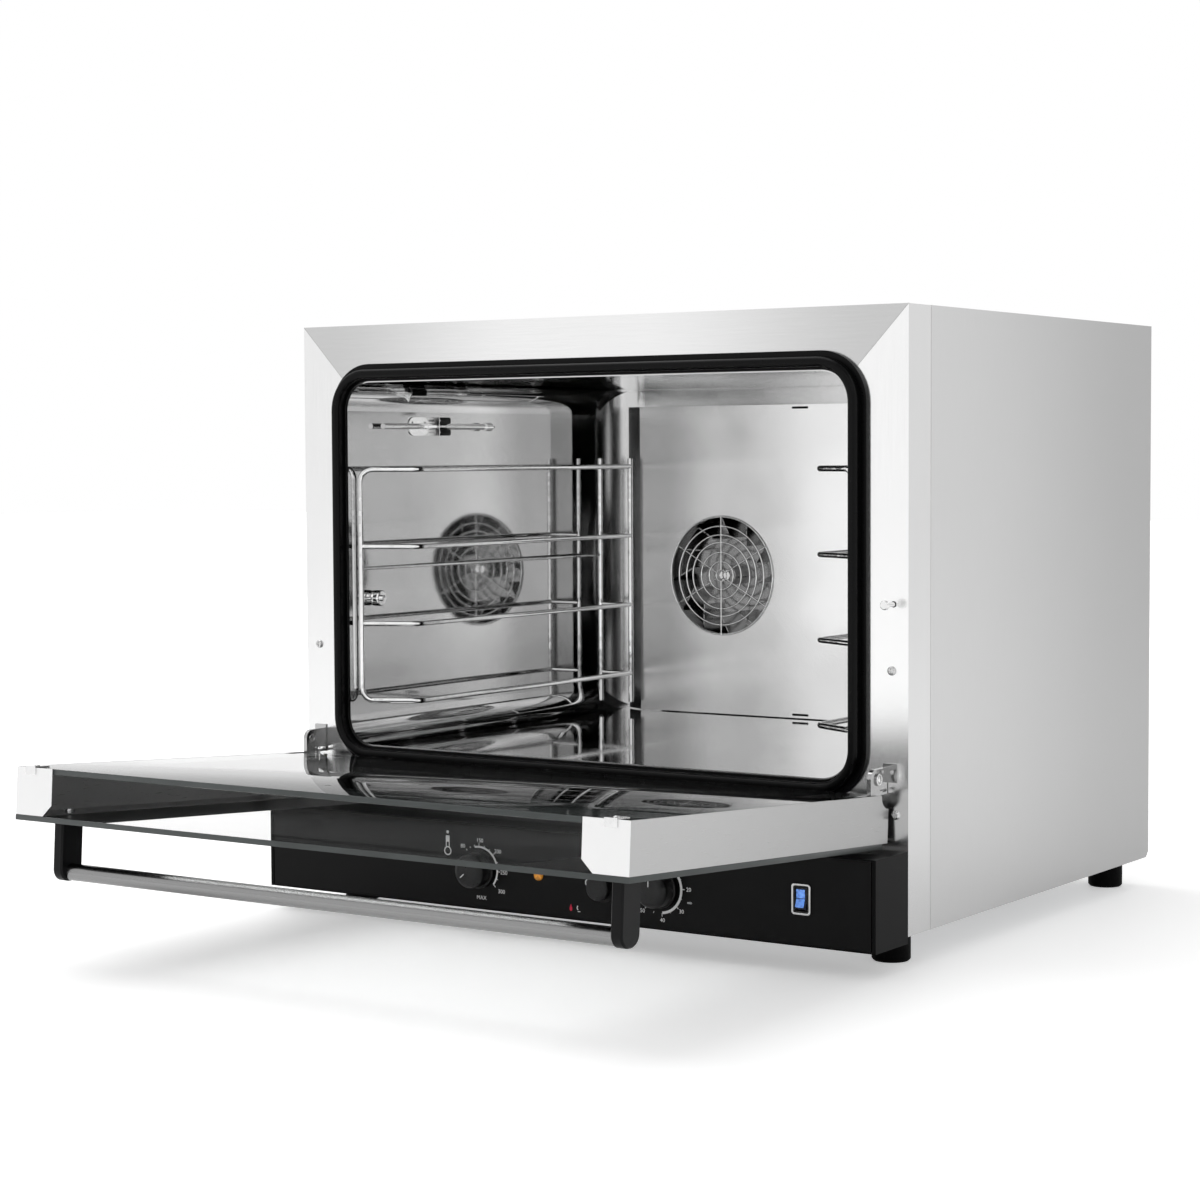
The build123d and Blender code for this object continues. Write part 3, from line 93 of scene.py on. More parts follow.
def side_level(x):
    """Level that faces right; x is the depth and y the height."""
    return facing((0.001 * x, fascia_y, 0), (0, 1, 0), (0, 0, 1))


def left_side_level(x):
    """Level that faces left; x is counted forwards and y is the height."""
    return facing((0.001 * x, fascia_y, 0), (0, -1, 0), (0, 0, 1))


def door_level(up):
    """Level in the door's plane; x is right and y runs back to the hinge."""
    return facing(pivot + door_up * (0.001 * up), (1, 0, 0), -door_along)


# Camera
camera_place = Vector((1.3832, fascia_y - 2.0145, 0.4514))
camera_yaw = math.radians(34.13)
camera_pitch = math.radians(-3.196)
camera_roll = math.radians(-0.304)
camera_data = bpy.data.cameras.new("camera")
camera_data.sensor_width = 36.0
camera_data.lens = 78.28
camera_data.clip_start = 0.05
camera_data.clip_end = 60.0
camera = bpy.data.objects.new("camera", camera_data)
camera.matrix_world = (
    Matrix.Translation(camera_place)
    @ Matrix.Rotation(camera_yaw, 4, "Z")
    @ Matrix.Rotation(math.pi / 2 + camera_pitch, 4, "X")
    @ Matrix.Rotation(camera_roll, 4, "Z")
)
scene.collection.objects.link(camera)
scene.camera = camera


# Nodes and materials
def node(tree, kind, **values):
    made = tree.nodes.new(kind)
    for name, value in values.items():
        setattr(made, name, value)
    return made


def new_material(name, colour, metallic=0.0, roughness=0.5, specular=0.5):
    material = bpy.data.materials.new(name)
    material.use_nodes = True
    shader = material.node_tree.nodes["Principled BSDF"]
    shader.inputs["Base Color"].default_value = (*colour, 1)
    shader.inputs["Metallic"].default_value = metallic
    shader.inputs["Roughness"].default_value = roughness
    shader.inputs["Specular IOR Level"].default_value = specular
    return material, material.node_tree, shader


def noise(tree, scale, detail=4.0, roughness=0.55, stretch=(1, 1, 1)):
    """Noise over the point on the surface, in the oven's frame, stretched by three scales."""
    coordinates = node(tree, "ShaderNodeTexCoord")
    mapping = node(tree, "ShaderNodeMapping")
    mapping.inputs["Scale"].default_value = stretch
    tree.links.new(coordinates.outputs["Object"], mapping.inputs["Vector"])
    texture = node(tree, "ShaderNodeTexNoise")
    texture.inputs["Scale"].default_value = scale
    texture.inputs["Detail"].default_value = detail
    texture.inputs["Roughness"].default_value = roughness
    tree.links.new(mapping.outputs["Vector"], texture.inputs["Vector"])
    return texture.outputs["Fac"]


def spread(tree, value, low, high, start=0.3, end=0.7, smooth=False):
    """Map part of a value's range onto two others."""
    ramp = node(tree, "ShaderNodeMapRange")
    if smooth:
        ramp.interpolation_type = "SMOOTHSTEP"
    ramp.inputs["From Min"].default_value = start
    ramp.inputs["From Max"].default_value = end
    ramp.inputs["To Min"].default_value = low
    ramp.inputs["To Max"].default_value = high
    tree.links.new(value, ramp.inputs["Value"])
    return ramp.outputs["Result"]


def tint(tree, value, dark, light, start=0.3, end=0.7):
    """Colour between two, by a texture."""
    ramp = node(tree, "ShaderNodeValToRGB")
    ramp.color_ramp.elements[0].position = start
    ramp.color_ramp.elements[0].color = (*dark, 1)
    ramp.color_ramp.elements[1].position = end
    ramp.color_ramp.elements[1].color = (*light, 1)
    tree.links.new(value, ramp.inputs["Fac"])
    return ramp.outputs["Color"]


def figure(tree, operation, *values):
    """Result of a sum over sockets and plain numbers."""
    made = node(tree, "ShaderNodeMath", operation=operation)
    for socket, value in zip(made.inputs, values):
        if isinstance(value, float):
            socket.default_value = value
        else:
            tree.links.new(value, socket)
    return made.outputs[0]


def blended(tree, share, first, second):
    """Shader between two, the second where the share is 1."""
    choice = node(tree, "ShaderNodeMixShader")
    tree.links.new(share, choice.inputs["Fac"])
    tree.links.new(first.outputs[0], choice.inputs[1])
    tree.links.new(second.outputs[0], choice.inputs[2])
    return choice.outputs[0]


def product(tree, first, second):
    mix = node(tree, "ShaderNodeMix", data_type="RGBA", blend_type="MULTIPLY")
    mix.inputs["Factor"].default_value = 1.0
    tree.links.new(first, mix.inputs["A"])
    tree.links.new(second, mix.inputs["B"])
    return mix.outputs["Result"]


def bump(tree, shader, value, strength, distance):
    made = node(tree, "ShaderNodeBump")
    made.inputs["Strength"].default_value = strength
    made.inputs["Distance"].default_value = distance
    tree.links.new(value, made.inputs["Height"])
    tree.links.new(made.outputs["Normal"], shader.inputs["Normal"])


def grey(level):
    return (level, level, level)


def shades(colour, low, high):
    return tuple(c * low for c in colour), tuple(min(1.0, c * high) for c in colour)


def painted_shade(tree, axis, start, end, last, mirrored=False, source="Object"):
    """Painted shade: change of tone along an axis of the place or the normal, from 1 at start to last at
    end.
    """
    coordinates = node(tree, "ShaderNodeTexCoord")
    parts = node(tree, "ShaderNodeSeparateXYZ")
    tree.links.new(coordinates.outputs[source], parts.inputs["Vector"])
    value = parts.outputs[axis]
    if mirrored:
        value = figure(tree, "ABSOLUTE", value)
    return spread(tree, value, 1.0, last, start, end, smooth=True)


def brushed(name, colour, roughness, stretch, grain=0.02, streak_scale=900.0, painted_shades=()):
    """Steel with fine brush lines, along the axis with the smallest stretch."""
    material, tree, shader = new_material(name, colour, 1.0, roughness)
    lines = noise(tree, streak_scale, detail=3, roughness=0.6, stretch=stretch)
    clouds = noise(tree, scale=4.0, detail=2, roughness=0.5)
    dark, light = shades(colour, 1 - grain, 1 + grain)
    total = product(
        tree, tint(tree, lines, dark, light), tint(tree, clouds, grey(0.975), grey(1.0))
    )
    # Painted shade: the tone is darkened along the given axes of place or facing
    for values in painted_shades:
        total = product(tree, total, painted_shade(tree, *values))
    tree.links.new(total, shader.inputs["Base Color"])
    tree.links.new(spread(tree, lines, roughness * 0.9, roughness * 1.1), shader.inputs["Roughness"])
    bump(tree, shader, lines, strength=0.01, distance=0.0001)
    return material


def polished(name, colour, roughness, wave, wave_scale=7.0, painted_shades=()):
    """Bright rolled sheet that mirrors, with the slow waves of thin metal."""
    material, tree, shader = new_material(name, colour, 1.0, roughness)
    waves = noise(tree, wave_scale, detail=1, roughness=0.4)
    haze = noise(tree, scale=14.0, detail=3, roughness=0.5)
    dark, light = shades(colour, 0.97, 1.03)
    total = tint(tree, haze, dark, light)
    # Painted shade: the tone is darkened along the given axes of place or facing
    for values in painted_shades:
        total = product(tree, total, painted_shade(tree, *values))
    tree.links.new(total, shader.inputs["Base Color"])
    tree.links.new(spread(tree, haze, roughness * 0.8, roughness * 1.2), shader.inputs["Roughness"])
    bump(tree, shader, waves, wave, distance=0.01)
    return material


def moulded(name, colour, roughness, grain_scale=900.0, grain=0.12, specular=0.5):
    """Plastic, rubber or paint with a fine skin texture."""
    material, tree, shader = new_material(name, colour, 0.0, roughness, specular)
    skin = noise(tree, grain_scale, detail=3, roughness=0.6)
    patches = noise(tree, scale=18.0, detail=3, roughness=0.5)
    dark, light = shades(colour, 0.85, 1.2)
    tree.links.new(tint(tree, patches, dark, light), shader.inputs["Base Color"])
    tree.links.new(spread(tree, skin, roughness * 0.85, roughness * 1.2), shader.inputs["Roughness"])
    bump(tree, shader, skin, grain, distance=0.0002)
    return material


def glass(name, colour, clear=0.0):
    """Glass that bends and mirrors, with a share that is only looked through, and lets lamp light pass."""
    material, tree, shader = new_material(name, colour, metallic=0.0, roughness=0.0)
    shader.inputs["Transmission Weight"].default_value = 1.0
    shader.inputs["IOR"].default_value = 1.5
    smears = noise(tree, scale=9.0, detail=3, roughness=0.5)
    dark, light = shades(colour, 0.985, 1.0)
    tree.links.new(tint(tree, smears, dark, light), shader.inputs["Base Color"])
    rays = node(tree, "ShaderNodeLightPath")
    open_way = node(tree, "ShaderNodeBsdfTransparent")
    open_way.inputs["Color"].default_value = (*grey(0.9), 1)
    share = figure(tree, "MAXIMUM", rays.outputs["Is Shadow Ray"], clear)
    surface = blended(tree, share, shader, open_way)
    tree.links.new(surface, tree.nodes["Material Output"].inputs["Surface"])
    return material


def glowing(name, colour, strength):
    """Lens that is lit from behind."""
    material, tree, shader = new_material(name, colour, metallic=0.0, roughness=0.25)
    spots = noise(tree, scale=300.0, detail=2, roughness=0.5)
    dark, light = shades(colour, 0.4, 1.0)
    shade = tint(tree, spots, dark, light)
    tree.links.new(shade, shader.inputs["Base Color"])
    tree.links.new(shade, shader.inputs["Emission Color"])
    shader.inputs["Emission Strength"].default_value = strength
    return material


along_x = (0.03, 1, 1)
along_y = (1, 0.03, 1)
along_z = (1, 1, 0.03)
no_lines = (1, 1, 1)

# Steels: name, colour, roughness; then lines, grain and their scale, or waves and their scale; then
# painted shades, darker tones that stand for shade and dim reflections, each with its axis, start, end, last
# tone, whether it is mirrored, and place or normal
# Painted shade: the side panels grow darker towards the rear
side_steel = brushed("side_steel", grey(0.62), 0.34, along_z, painted_shades=(("Y", -0.05, 0.5, 0.68),))
top_steel = brushed("top_steel", grey(0.68), 0.34, along_x)
# Painted shade: the stiles are darker on faces turned from the front, and the left stile is darker than the
# right
stile_steel = brushed(
    "stile_steel", grey(0.94), 0.2, along_z, 0.012,
    painted_shades=(("Y", -0.9, -0.3, 0.72, False, "Normal"), ("X", 0.1, -0.3, 0.9)),
)
# Painted reflection: the header and sill are brightest in the middle and darker towards both ends
header_steel = brushed(
    "header_steel", grey(0.88), 0.22, along_x, 0.012, painted_shades=(("X", 0.06, 0.32, 0.68, True),)
)
rear_steel = brushed("rear_steel", grey(0.6), 0.42, along_x)
galvanised = brushed("galvanised", (0.55, 0.56, 0.57), 0.45, no_lines, 0.12, 35.0)
liner_steel = polished("liner_steel", grey(0.67), 0.05, 0.025)
# Painted reflection: the fan baffle is darker towards its left edge
baffle_steel = polished("baffle_steel", grey(0.95), 0.22, 0.02, 5.0, (("X", -0.12, -0.19, 0.6),))
rear_liner_steel = polished("rear_liner_steel", grey(0.74), 0.2, 0.02, 5.0)
# Painted shade: the door channels are darker towards the hinge and on faces turned from the front
door_steel = brushed(
    "door_steel", grey(0.86), 0.3, along_y, 0.008, 1800.0,
    (("Y", -0.46, -0.1, 0.82), ("Y", -0.9, -0.3, 0.6, False, "Normal")),
)
hinge_steel = polished("hinge_steel", grey(0.42), 0.16, 0.05, 60.0)
wire_steel = polished("wire_steel", grey(0.85), 0.08, 0.03, 90.0)
bright_steel = polished("bright_steel", grey(0.88), 0.12, 0.02, 90.0)
tube_steel = brushed("tube_steel", grey(0.3), 0.24, along_x, 0.02, 1200.0)
screw_steel = polished("screw_steel", grey(0.62), 0.16, 0.03, 200.0)
blade_steel = polished("blade_steel", grey(0.34), 0.14, 0.005, 20.0)
element_steel = polished("element_steel", (0.18, 0.165, 0.15), 0.4, 0.05, 90.0)

# Paints, plastics, rubber and wool: name, colour, roughness, scale and depth of the grain, mirror share
box_paint = moulded("box_paint", (0.0026, 0.0026, 0.0028), 0.34, 1400.0, 0.03, 0.07)
panel_paint = moulded("panel_paint", (0.0028, 0.0028, 0.003), 0.34, 1400.0, 0.03, 0.12)
motor_paint = moulded("motor_paint", (0.03, 0.03, 0.033), 0.5)
silicone = moulded("silicone", (0.0018, 0.0018, 0.002), 0.3, 700.0, 0.05, 0.12)
foot_rubber = moulded("foot_rubber", grey(0.0015), 0.6, 500.0, 0.12, 0.06)
black_plastic = moulded("black_plastic", grey(0.006), 0.45, 900.0, 0.08, 0.25)
bracket_plastic = moulded("bracket_plastic", (0.004, 0.004, 0.0045), 0.34, 900.0, 0.04, 0.16)
knob_plastic = moulded("knob_plastic", (0.003, 0.003, 0.0032), 0.3, 1200.0, 0.04, 0.35)
insulation_wool = moulded("insulation_wool", (0.6, 0.52, 0.33), 0.95, 160.0, 0.8)
# Black layer of the dark band on the outer pane
black_band = moulded("black_band", grey(0.0025), 0.3, 1600.0, 0.02, 0.2)
ground_edge = moulded("ground_edge", (0.06, 0.068, 0.067), 0.35, 800.0, 0.1, 0.4)
# Painted shade: near-black plates that stand for the shade inside the baffle's slots
painted_slot_shade = moulded("painted_slot_shade", grey(0.004), 0.5, 900.0, 0.05, 0.2)

# Glass and lit lenses
clear_glass = glass("clear_glass", (0.96, 0.975, 0.97))
coated_glass = glass("coated_glass", (0.96, 0.975, 0.97), 0.96)
amber_lens = glowing("amber_lens", (0.75, 0.3, 0.03), 0.25)
blue_light = glowing("blue_light", (0.16, 0.36, 0.95), 0.7)

# The rocker and the print
rocker_plastic = moulded("rocker_plastic", (0.006, 0.01, 0.03), 0.25, 900.0, 0.03, 0.4)
white_print = moulded("white_print", grey(0.82), 0.5, 800.0, 0.03, 0.2)
red_print = moulded("red_print", (0.62, 0.02, 0.06), 0.5, 800.0, 0.03, 0.2)

looks = {
    side_steel: ("side_panel_left", "side_panel_right"),
    top_steel: ("top_panel",),
    stile_steel: ("front_stile_left", "front_stile_right"),
    header_steel: ("front_header", "front_sill"),
    rear_steel: ("rear_panel",),
    galvanised: ("base_pan",),
    liner_steel: ("cavity_wrapper",),
    rear_liner_steel: ("cavity_rear",),
    baffle_steel: ("fan_baffle",),
    door_steel: ("door_channel_left", "door_channel_right"),
    hinge_steel: ("hinge_arm_left", "hinge_arm_right", "hinge_body_left", "hinge_body_right", "hinge_pins"),
    wire_steel: ("side_rack_left", "side_rack_right", "rack_fixings", "fan_guards", "thermostat_bulb",
                 "door_switch_plunger", "thermostat_spindle", "timer_spindle", "motor_shaft_left",
                 "motor_shaft_right", "pane_clips"),
    bright_steel: ("bulb_bracket",),
    tube_steel: ("handle_tube",),
    screw_steel: ("cabinet_screws", "handle_bolts"),
    blade_steel: ("fan_impeller_left", "fan_impeller_right"),
    element_steel: ("heating_element_left", "heating_element_right"),
    box_paint: ("control_box",),
    panel_paint: ("control_panel",),
    motor_paint: ("fan_motor_left", "fan_motor_right"),
    silicone: ("door_gasket",),
    foot_rubber: ("feet",),
    black_plastic: ("cable_gland", "thermostat_body", "timer_body", "button_switch", "rocker_housing",
                    "door_switch"),
    bracket_plastic: ("handle_bracket_left", "handle_bracket_right"),
    knob_plastic: ("thermostat_knob", "timer_knob", "push_button"),
    insulation_wool: ("insulation",),
    clear_glass: ("inner_pane", "outer_pane"),
    amber_lens: ("pilot_lamp",),
    rocker_plastic: ("rocker",),
}
for material, names in looks.items():
    for name in names:
        cad[name].data.materials.clear()
        cad[name].data.materials.append(material)


# Meshes
def around(count):
    """Angles that share out a full turn."""
    return [2 * math.pi * i / count for i in range(count)]


def mesh_of(work, matrix):
    bmesh.ops.recalc_face_normals(work, faces=work.faces)
    mesh = bpy.data.meshes.new("part")
    work.to_mesh(mesh)
    work.free()
    mesh.transform(matrix)
    return mesh


def plate(outlines, thickness, bevel, matrix, low=0.0):
    """Flat plate from closed outlines, the first round the others, with rims rounded by a bevel."""
    level_within = math.radians(1)
    rim_above = math.radians(50)
    wall_below = 0.7
    flat = bmesh.new()
    rings = []
    for outline in outlines:
        points = [flat.verts.new((x, y, 0)) for x, y in outline]
        rings.append(points)
        for pair in zip(points, points[1:] + points[:1]):
            flat.edges.new(pair)
    flat.verts.index_update()
    bmesh.ops.triangle_fill(
        flat, use_beauty=True, use_dissolve=False, edges=list(flat.edges), normal=(0, 0, 1)
    )
    work = bmesh.new()
    layers = [[work.verts.new((v.co.x, v.co.y, z)) for v in flat.verts] for z in (low, low + thickness)]
    for face in flat.faces:
        for layer in layers:
            work.faces.new([layer[v.index] for v in face.verts])
    for ring in rings:
        for a, b in zip(ring, ring[1:] + ring[:1]):
            work.faces.new((layers[0][a.index], layers[0][b.index], layers[1][b.index], layers[1][a.index]))
    flat.free()
    bmesh.ops.recalc_face_normals(work, faces=work.faces)
    bmesh.ops.dissolve_limit(
        work, angle_limit=level_within, verts=list(work.verts), edges=list(work.edges), delimit=set()
    )
    if bevel > 0:
        rims = [e for e in work.edges if len(e.link_faces) == 2 and e.calc_face_angle() > rim_above]
        bmesh.ops.bevel(work, geom=rims, offset=bevel, segments=2, profile=0.5, affect="EDGES")
    for face in work.faces:
        face.material_index = int(abs(face.normal.z) < wall_below)
    return mesh_of(work, matrix)


def lathe(profile, matrix, segments=32):
    """Turned shape from points of radius and height, closed on its axis at both ends."""
    work = bmesh.new()
    rings = []
    for radius, height in profile:
        if radius == 0:
            rings.append([work.verts.new((0, 0, height))])
        else:
            points = [(radius * math.cos(t), radius * math.sin(t), height) for t in around(segments)]
            rings.append([work.verts.new(point) for point in points])
    for first, second in zip(rings, rings[1:]):
        for i in range(segments):
            corners = [
                first[i % len(first)],
                first[(i + 1) % len(first)],
                second[(i + 1) % len(second)],
                second[i % len(second)],
            ]
            work.faces.new(list(dict.fromkeys(corners)))
    return mesh_of(work, matrix)


def ring_bead(radius, wire, matrix, segments=40, sides=12):
    """Round wire bent into a ring."""
    work = bmesh.new()
    loops = []
    for t in around(segments):
        loop = []
        for s in around(sides):
            reach = radius + wire * math.cos(s)
            loop.append(work.verts.new((reach * math.cos(t), reach * math.sin(t), wire * math.sin(s))))
        loops.append(loop)
    for i in range(segments):
        after = loops[(i + 1) % segments]
        for j in range(sides):
            k = (j + 1) % sides
            work.faces.new((loops[i][j], after[j], after[k], loops[i][k]))
    return mesh_of(work, matrix)


def at(x, y, z=0.0):
    return Matrix.Translation((x, y, z))


def rectangle(x_span, y_span):
    return [(x_span[0], y_span[0]), (x_span[1], y_span[0]), (x_span[1], y_span[1]), (x_span[0], y_span[1])]


def rounded(centre, size, corner, steps=5):
    """Rectangle with rounded corners."""
    points = []
    for quarter, (sx, sy) in enumerate(((1, 1), (-1, 1), (-1, -1), (1, -1))):
        x = centre[0] + sx * (size[0] / 2 - corner)
        y = centre[1] + sy * (size[1] / 2 - corner)
        for step in range(steps + 1):
            angle = math.pi / 2 * (quarter + step / steps)
            points.append((x + corner * math.cos(angle), y + corner * math.sin(angle)))
    return points


def circle(centre, radius, steps=24):
    return [(centre[0] + radius * math.cos(t), centre[1] + radius * math.sin(t)) for t in around(steps)]


def arc_band(centre, inner, outer, start, end, step=4.0):
    """Part of a ring between two angles, which are counted clockwise from the top."""
    count = max(2, round(abs(end - start) / step))
    angles = [math.radians(start + (end - start) * i / count) for i in range(count + 1)]
    far = [(centre[0] + outer * math.sin(a), centre[1] + outer * math.cos(a)) for a in angles]
    near = [(centre[0] + inner * math.sin(a), centre[1] + inner * math.cos(a)) for a in angles]
    return far + near[::-1]


def merged(name, parts):
    work = bmesh.new()
    for part in parts:
        work.from_mesh(part)
        bpy.data.meshes.remove(part)
    mesh = bpy.data.meshes.new(name)
    work.to_mesh(mesh)
    work.free()
    return mesh


def piece(name, parts, body, slot, *materials):
    """Visible piece from meshes, on a body; one material covers all, two are for faces and rims."""
    crease = math.radians(32)
    mesh = merged(name, parts)
    mesh.shade_smooth()
    mesh.set_sharp_from_angle(angle=crease)
    for material in materials:
        mesh.materials.append(material)
    if len(materials) == 1:
        for polygon in mesh.polygons:
            polygon.material_index = 0
    made = bpy.data.objects.new(name, mesh)
    scene.collection.objects.link(made)
    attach(made, body)
    return made


def lettering(text, x, y, size, matrix):
    """Printed letters as a thin mesh, centred on a place."""
    data = bpy.data.curves.new("lettering", "FONT")
    data.body = text
    data.size = size
    data.align_x = "CENTER"
    data.align_y = "CENTER"
    data.extrude = print_thickness / 2
    data.resolution_u = 3
    shape = bpy.data.objects.new("lettering", data)
    mesh = bpy.data.meshes.new_from_object(shape)
    bpy.data.objects.remove(shape)
    bpy.data.curves.remove(data)
    mesh.materials.clear()
    mesh.transform(matrix @ at(x, y, print_thickness / 2))
    return mesh


# Door glass
def build_panes():
    pane_thickness = 5.0
    ground = 0.5

    inner_low = 2.5
    inner_tail = 5.5
    inner_front = door_reach - 1.4
    inner_half = 321.3
    notch_x = 308.0
    notch_reach = 40.0
    outline = [
        (-notch_x, inner_tail), (notch_x, inner_tail), (notch_x, -notch_reach), (inner_half, -notch_reach),
        (inner_half, -inner_front), (-inner_half, -inner_front), (-inner_half, -notch_reach),
        (-notch_x, -notch_reach),
    ]
    pane = plate([outline], pane_thickness, ground, door_level(0), inner_low)
    inner = piece("inner_glass", [pane], "door", "clear_glass", clear_glass, ground_edge)
    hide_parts("inner_pane")

    outer_low = -39.5
    outer_tail = 8.0
    outer_front = door_reach + 0.5
    bolt_x = 296.5
    bolt_along = door_reach - 38.0
    bolt_hole = 3.2
    outlines = [rectangle((-door_half, door_half), (-outer_front, outer_tail))]
    outlines += [circle((side * bolt_x, -bolt_along), bolt_hole) for side in (-1, 1)]
    pane = plate(outlines, pane_thickness, ground, door_level(0), outer_low)
    outer = piece("outer_glass", [pane], "door", "clear_glass", coated_glass, ground_edge)
    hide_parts("outer_pane")

    # Thin black band inside the outer pane, open at the free end
    rim = 0.8
    border_low = -34.7
    border_thickness = 0.08
    window_half = 215.0
    window_tail = 45.0
    half = door_half - rim
    tail = outer_tail - rim
    front = rim - outer_front
    border = [
        (-half, tail), (half, tail), (half, front), (window_half, front), (window_half, -window_tail),
        (-window_half, -window_tail), (-window_half, front), (-half, front),
    ]
    band_layer = plate([border], border_thickness, 0, door_level(0), border_low)
    piece("outer_glass_border", [band_layer], "door", "dark_paint", black_band)


# Dials and signs on the control panel
panel_level = facing((0, panel_y, 0), (1, 0, 0), (0, 0, 1))


def printed(outlines):
    return plate(outlines, print_thickness, 0, panel_level)


def tick(centre, angle, inner, outer, width=0.7):
    middle = math.radians(angle)
    along = (math.sin(middle), math.cos(middle))
    across = (along[1] * width / 2, -along[0] * width / 2)
    ends = [(centre[0] + r * along[0], centre[1] + r * along[1]) for r in (inner, outer)]
    return printed([[
        (ends[0][0] - across[0], ends[0][1] - across[1]),
        (ends[0][0] + across[0], ends[0][1] + across[1]),
        (ends[1][0] + across[0], ends[1][1] + across[1]),
        (ends[1][0] - across[0], ends[1][1] - across[1]),
    ]])


def build_thermostat_dial():
    centre = (thermostat_x, control_row)
    arc_inner, arc_outer = 20.2, 22.0
    arc_start, arc_end = -14, 129
    tick_start, long_end, short_end = 21.6, 24.6, 23.4
    dot_left, dot_below, dot_radius = 13.5, 17.0, 0.7
    number_size = 5.4
    marks = [printed([arc_band(centre, arc_inner, arc_outer, arc_start, arc_end)])]
    marks += [tick(centre, angle, tick_start, long_end) for angle in (0, 48, 92, arc_end)]
    marks += [tick(centre, angle, tick_start, short_end) for angle in (-40, -27, arc_start, 16, 32, 70, 111)]
    marks.append(printed([circle((centre[0] - dot_left, centre[1] - dot_below), dot_radius, 12)]))
    for text, x, y in (
        ("80", -19.0, 20.4), ("150", 1.0, 27.0), ("200", 21.8, 18.2), ("250", 28.8, -1.2),
        ("300", 26.0, -19.3), ("MAX", 2.6, -27.0),
    ):
        marks.append(lettering(text, centre[0] + x, centre[1] + y, number_size, panel_level))
    piece("thermostat_dial_print", marks, "cabinet", "dark_paint", white_print)


def build_timer_dial():
    centre = (timer_x, control_row)
    ten_minutes = 44
    arc_inner, arc_outer = 21.0, 23.4
    arc_start, arc_end = 58, 175
    tick_start, long_end, short_end = 22.8, 25.6, 24.2
    short_width = 0.5
    reach_x, reach_y = 30, 29
    number_size = 5.2
    unit_right, unit_below, unit_size = 31, 10.5, 3.4
    marks = [printed([arc_band(centre, arc_inner, arc_outer, arc_start, arc_end)])]
    marks += [tick(centre, ten_minutes * i, tick_start, long_end) for i in range(7)]
    marks += [tick(centre, ten_minutes * (i + 0.5), tick_start, short_end, short_width) for i in range(6)]
    for i in range(7):
        angle = math.radians(ten_minutes * i)
        x = centre[0] + reach_x * math.sin(angle)
        y = centre[1] + reach_y * math.cos(angle)
        marks.append(lettering(str(10 * i), x, y, number_size, panel_level))
    marks.append(lettering("min", centre[0] + unit_right, centre[1] - unit_below, unit_size, panel_level))
    piece("timer_dial_print", marks, "cabinet", "dark_paint", white_print)


def build_signs():
    # Thermometer left of the thermostat's dial
    glyph_x, bulb_z, stem_top = -118.0, 76.5, 91.0
    bulb_outer, bulb_inner = 4.3, 3.2
    stem_outer, stem_inner = 2.2, 1.3
    stem_foot = bulb_z + 3.6
    filled = 6.0
    cap_rise, cap_radius = 3.4, 1.5
    signs = [
        printed([circle((glyph_x, bulb_z), bulb_outer), circle((glyph_x, bulb_z), bulb_inner)]),
        printed([rectangle((glyph_x - stem_outer, glyph_x - stem_inner), (stem_foot, stem_top))]),
        printed([rectangle((glyph_x + stem_inner, glyph_x + stem_outer), (stem_foot, stem_top))]),
        printed([rectangle((glyph_x - stem_inner, glyph_x + stem_inner), (stem_top - filled, stem_top))]),
        printed([circle((glyph_x, stem_top + cap_rise), cap_radius, 16)]),
    ]

    # Arc left of the push button, and a smaller one over a dash further down
    arc_left, arc_rise = 16.0, 2.0
    arc_centre = (button_place[0] - arc_left, button_place[1] + arc_rise)
    small_centre = (33.0, 35.7)
    dash_x, dash_z = (31.6, 34.4), (32.0, 32.6)
    signs.append(printed([arc_band(arc_centre, inner=3.0, outer=3.9, start=-160, end=-20)]))
    signs.append(printed([arc_band(small_centre, inner=1.7, outer=2.5, start=-150, end=-30)]))
    signs.append(printed([rectangle(dash_x, dash_z)]))
    piece("panel_signs", signs, "cabinet", "dark_paint", white_print)

    drop_x, drop_z = 24.0, 35.4
    drop_half, drop_rise, drop_taper = 1.9, 3.3, 1.2
    drop = [
        (drop_x + drop_half * math.sin(a) * math.sin(a / 2) ** drop_taper, drop_z + drop_rise * math.cos(a))
        for a in around(28)
    ]
    piece("panel_drop_sign", [printed([drop])], "cabinet", "dark_paint", red_print)


# White lines inlaid in the knobs' pointers
def build_pointers():
    middle = 6.45
    length, width, corner = 5.6, 0.9, 0.44
    low, thickness = 20.55, 0.12
    for name, x, angle in (("thermostat", thermostat_x, 130.0), ("timer", timer_x, 0.0)):
        level = facing((0.001 * x, panel_y, 0.001 * control_row), (1, 0, 0), (0, 0, 1))
        turned = level @ Matrix.Rotation(math.radians(90 + angle), 4, "Z")
        inlay = plate([rounded((middle, 0), (length, width), corner)], thickness, 0, turned, low)
        piece(f"{name}_pointer_inlay", [inlay], f"{name}_control", "knob_plastic", white_print)


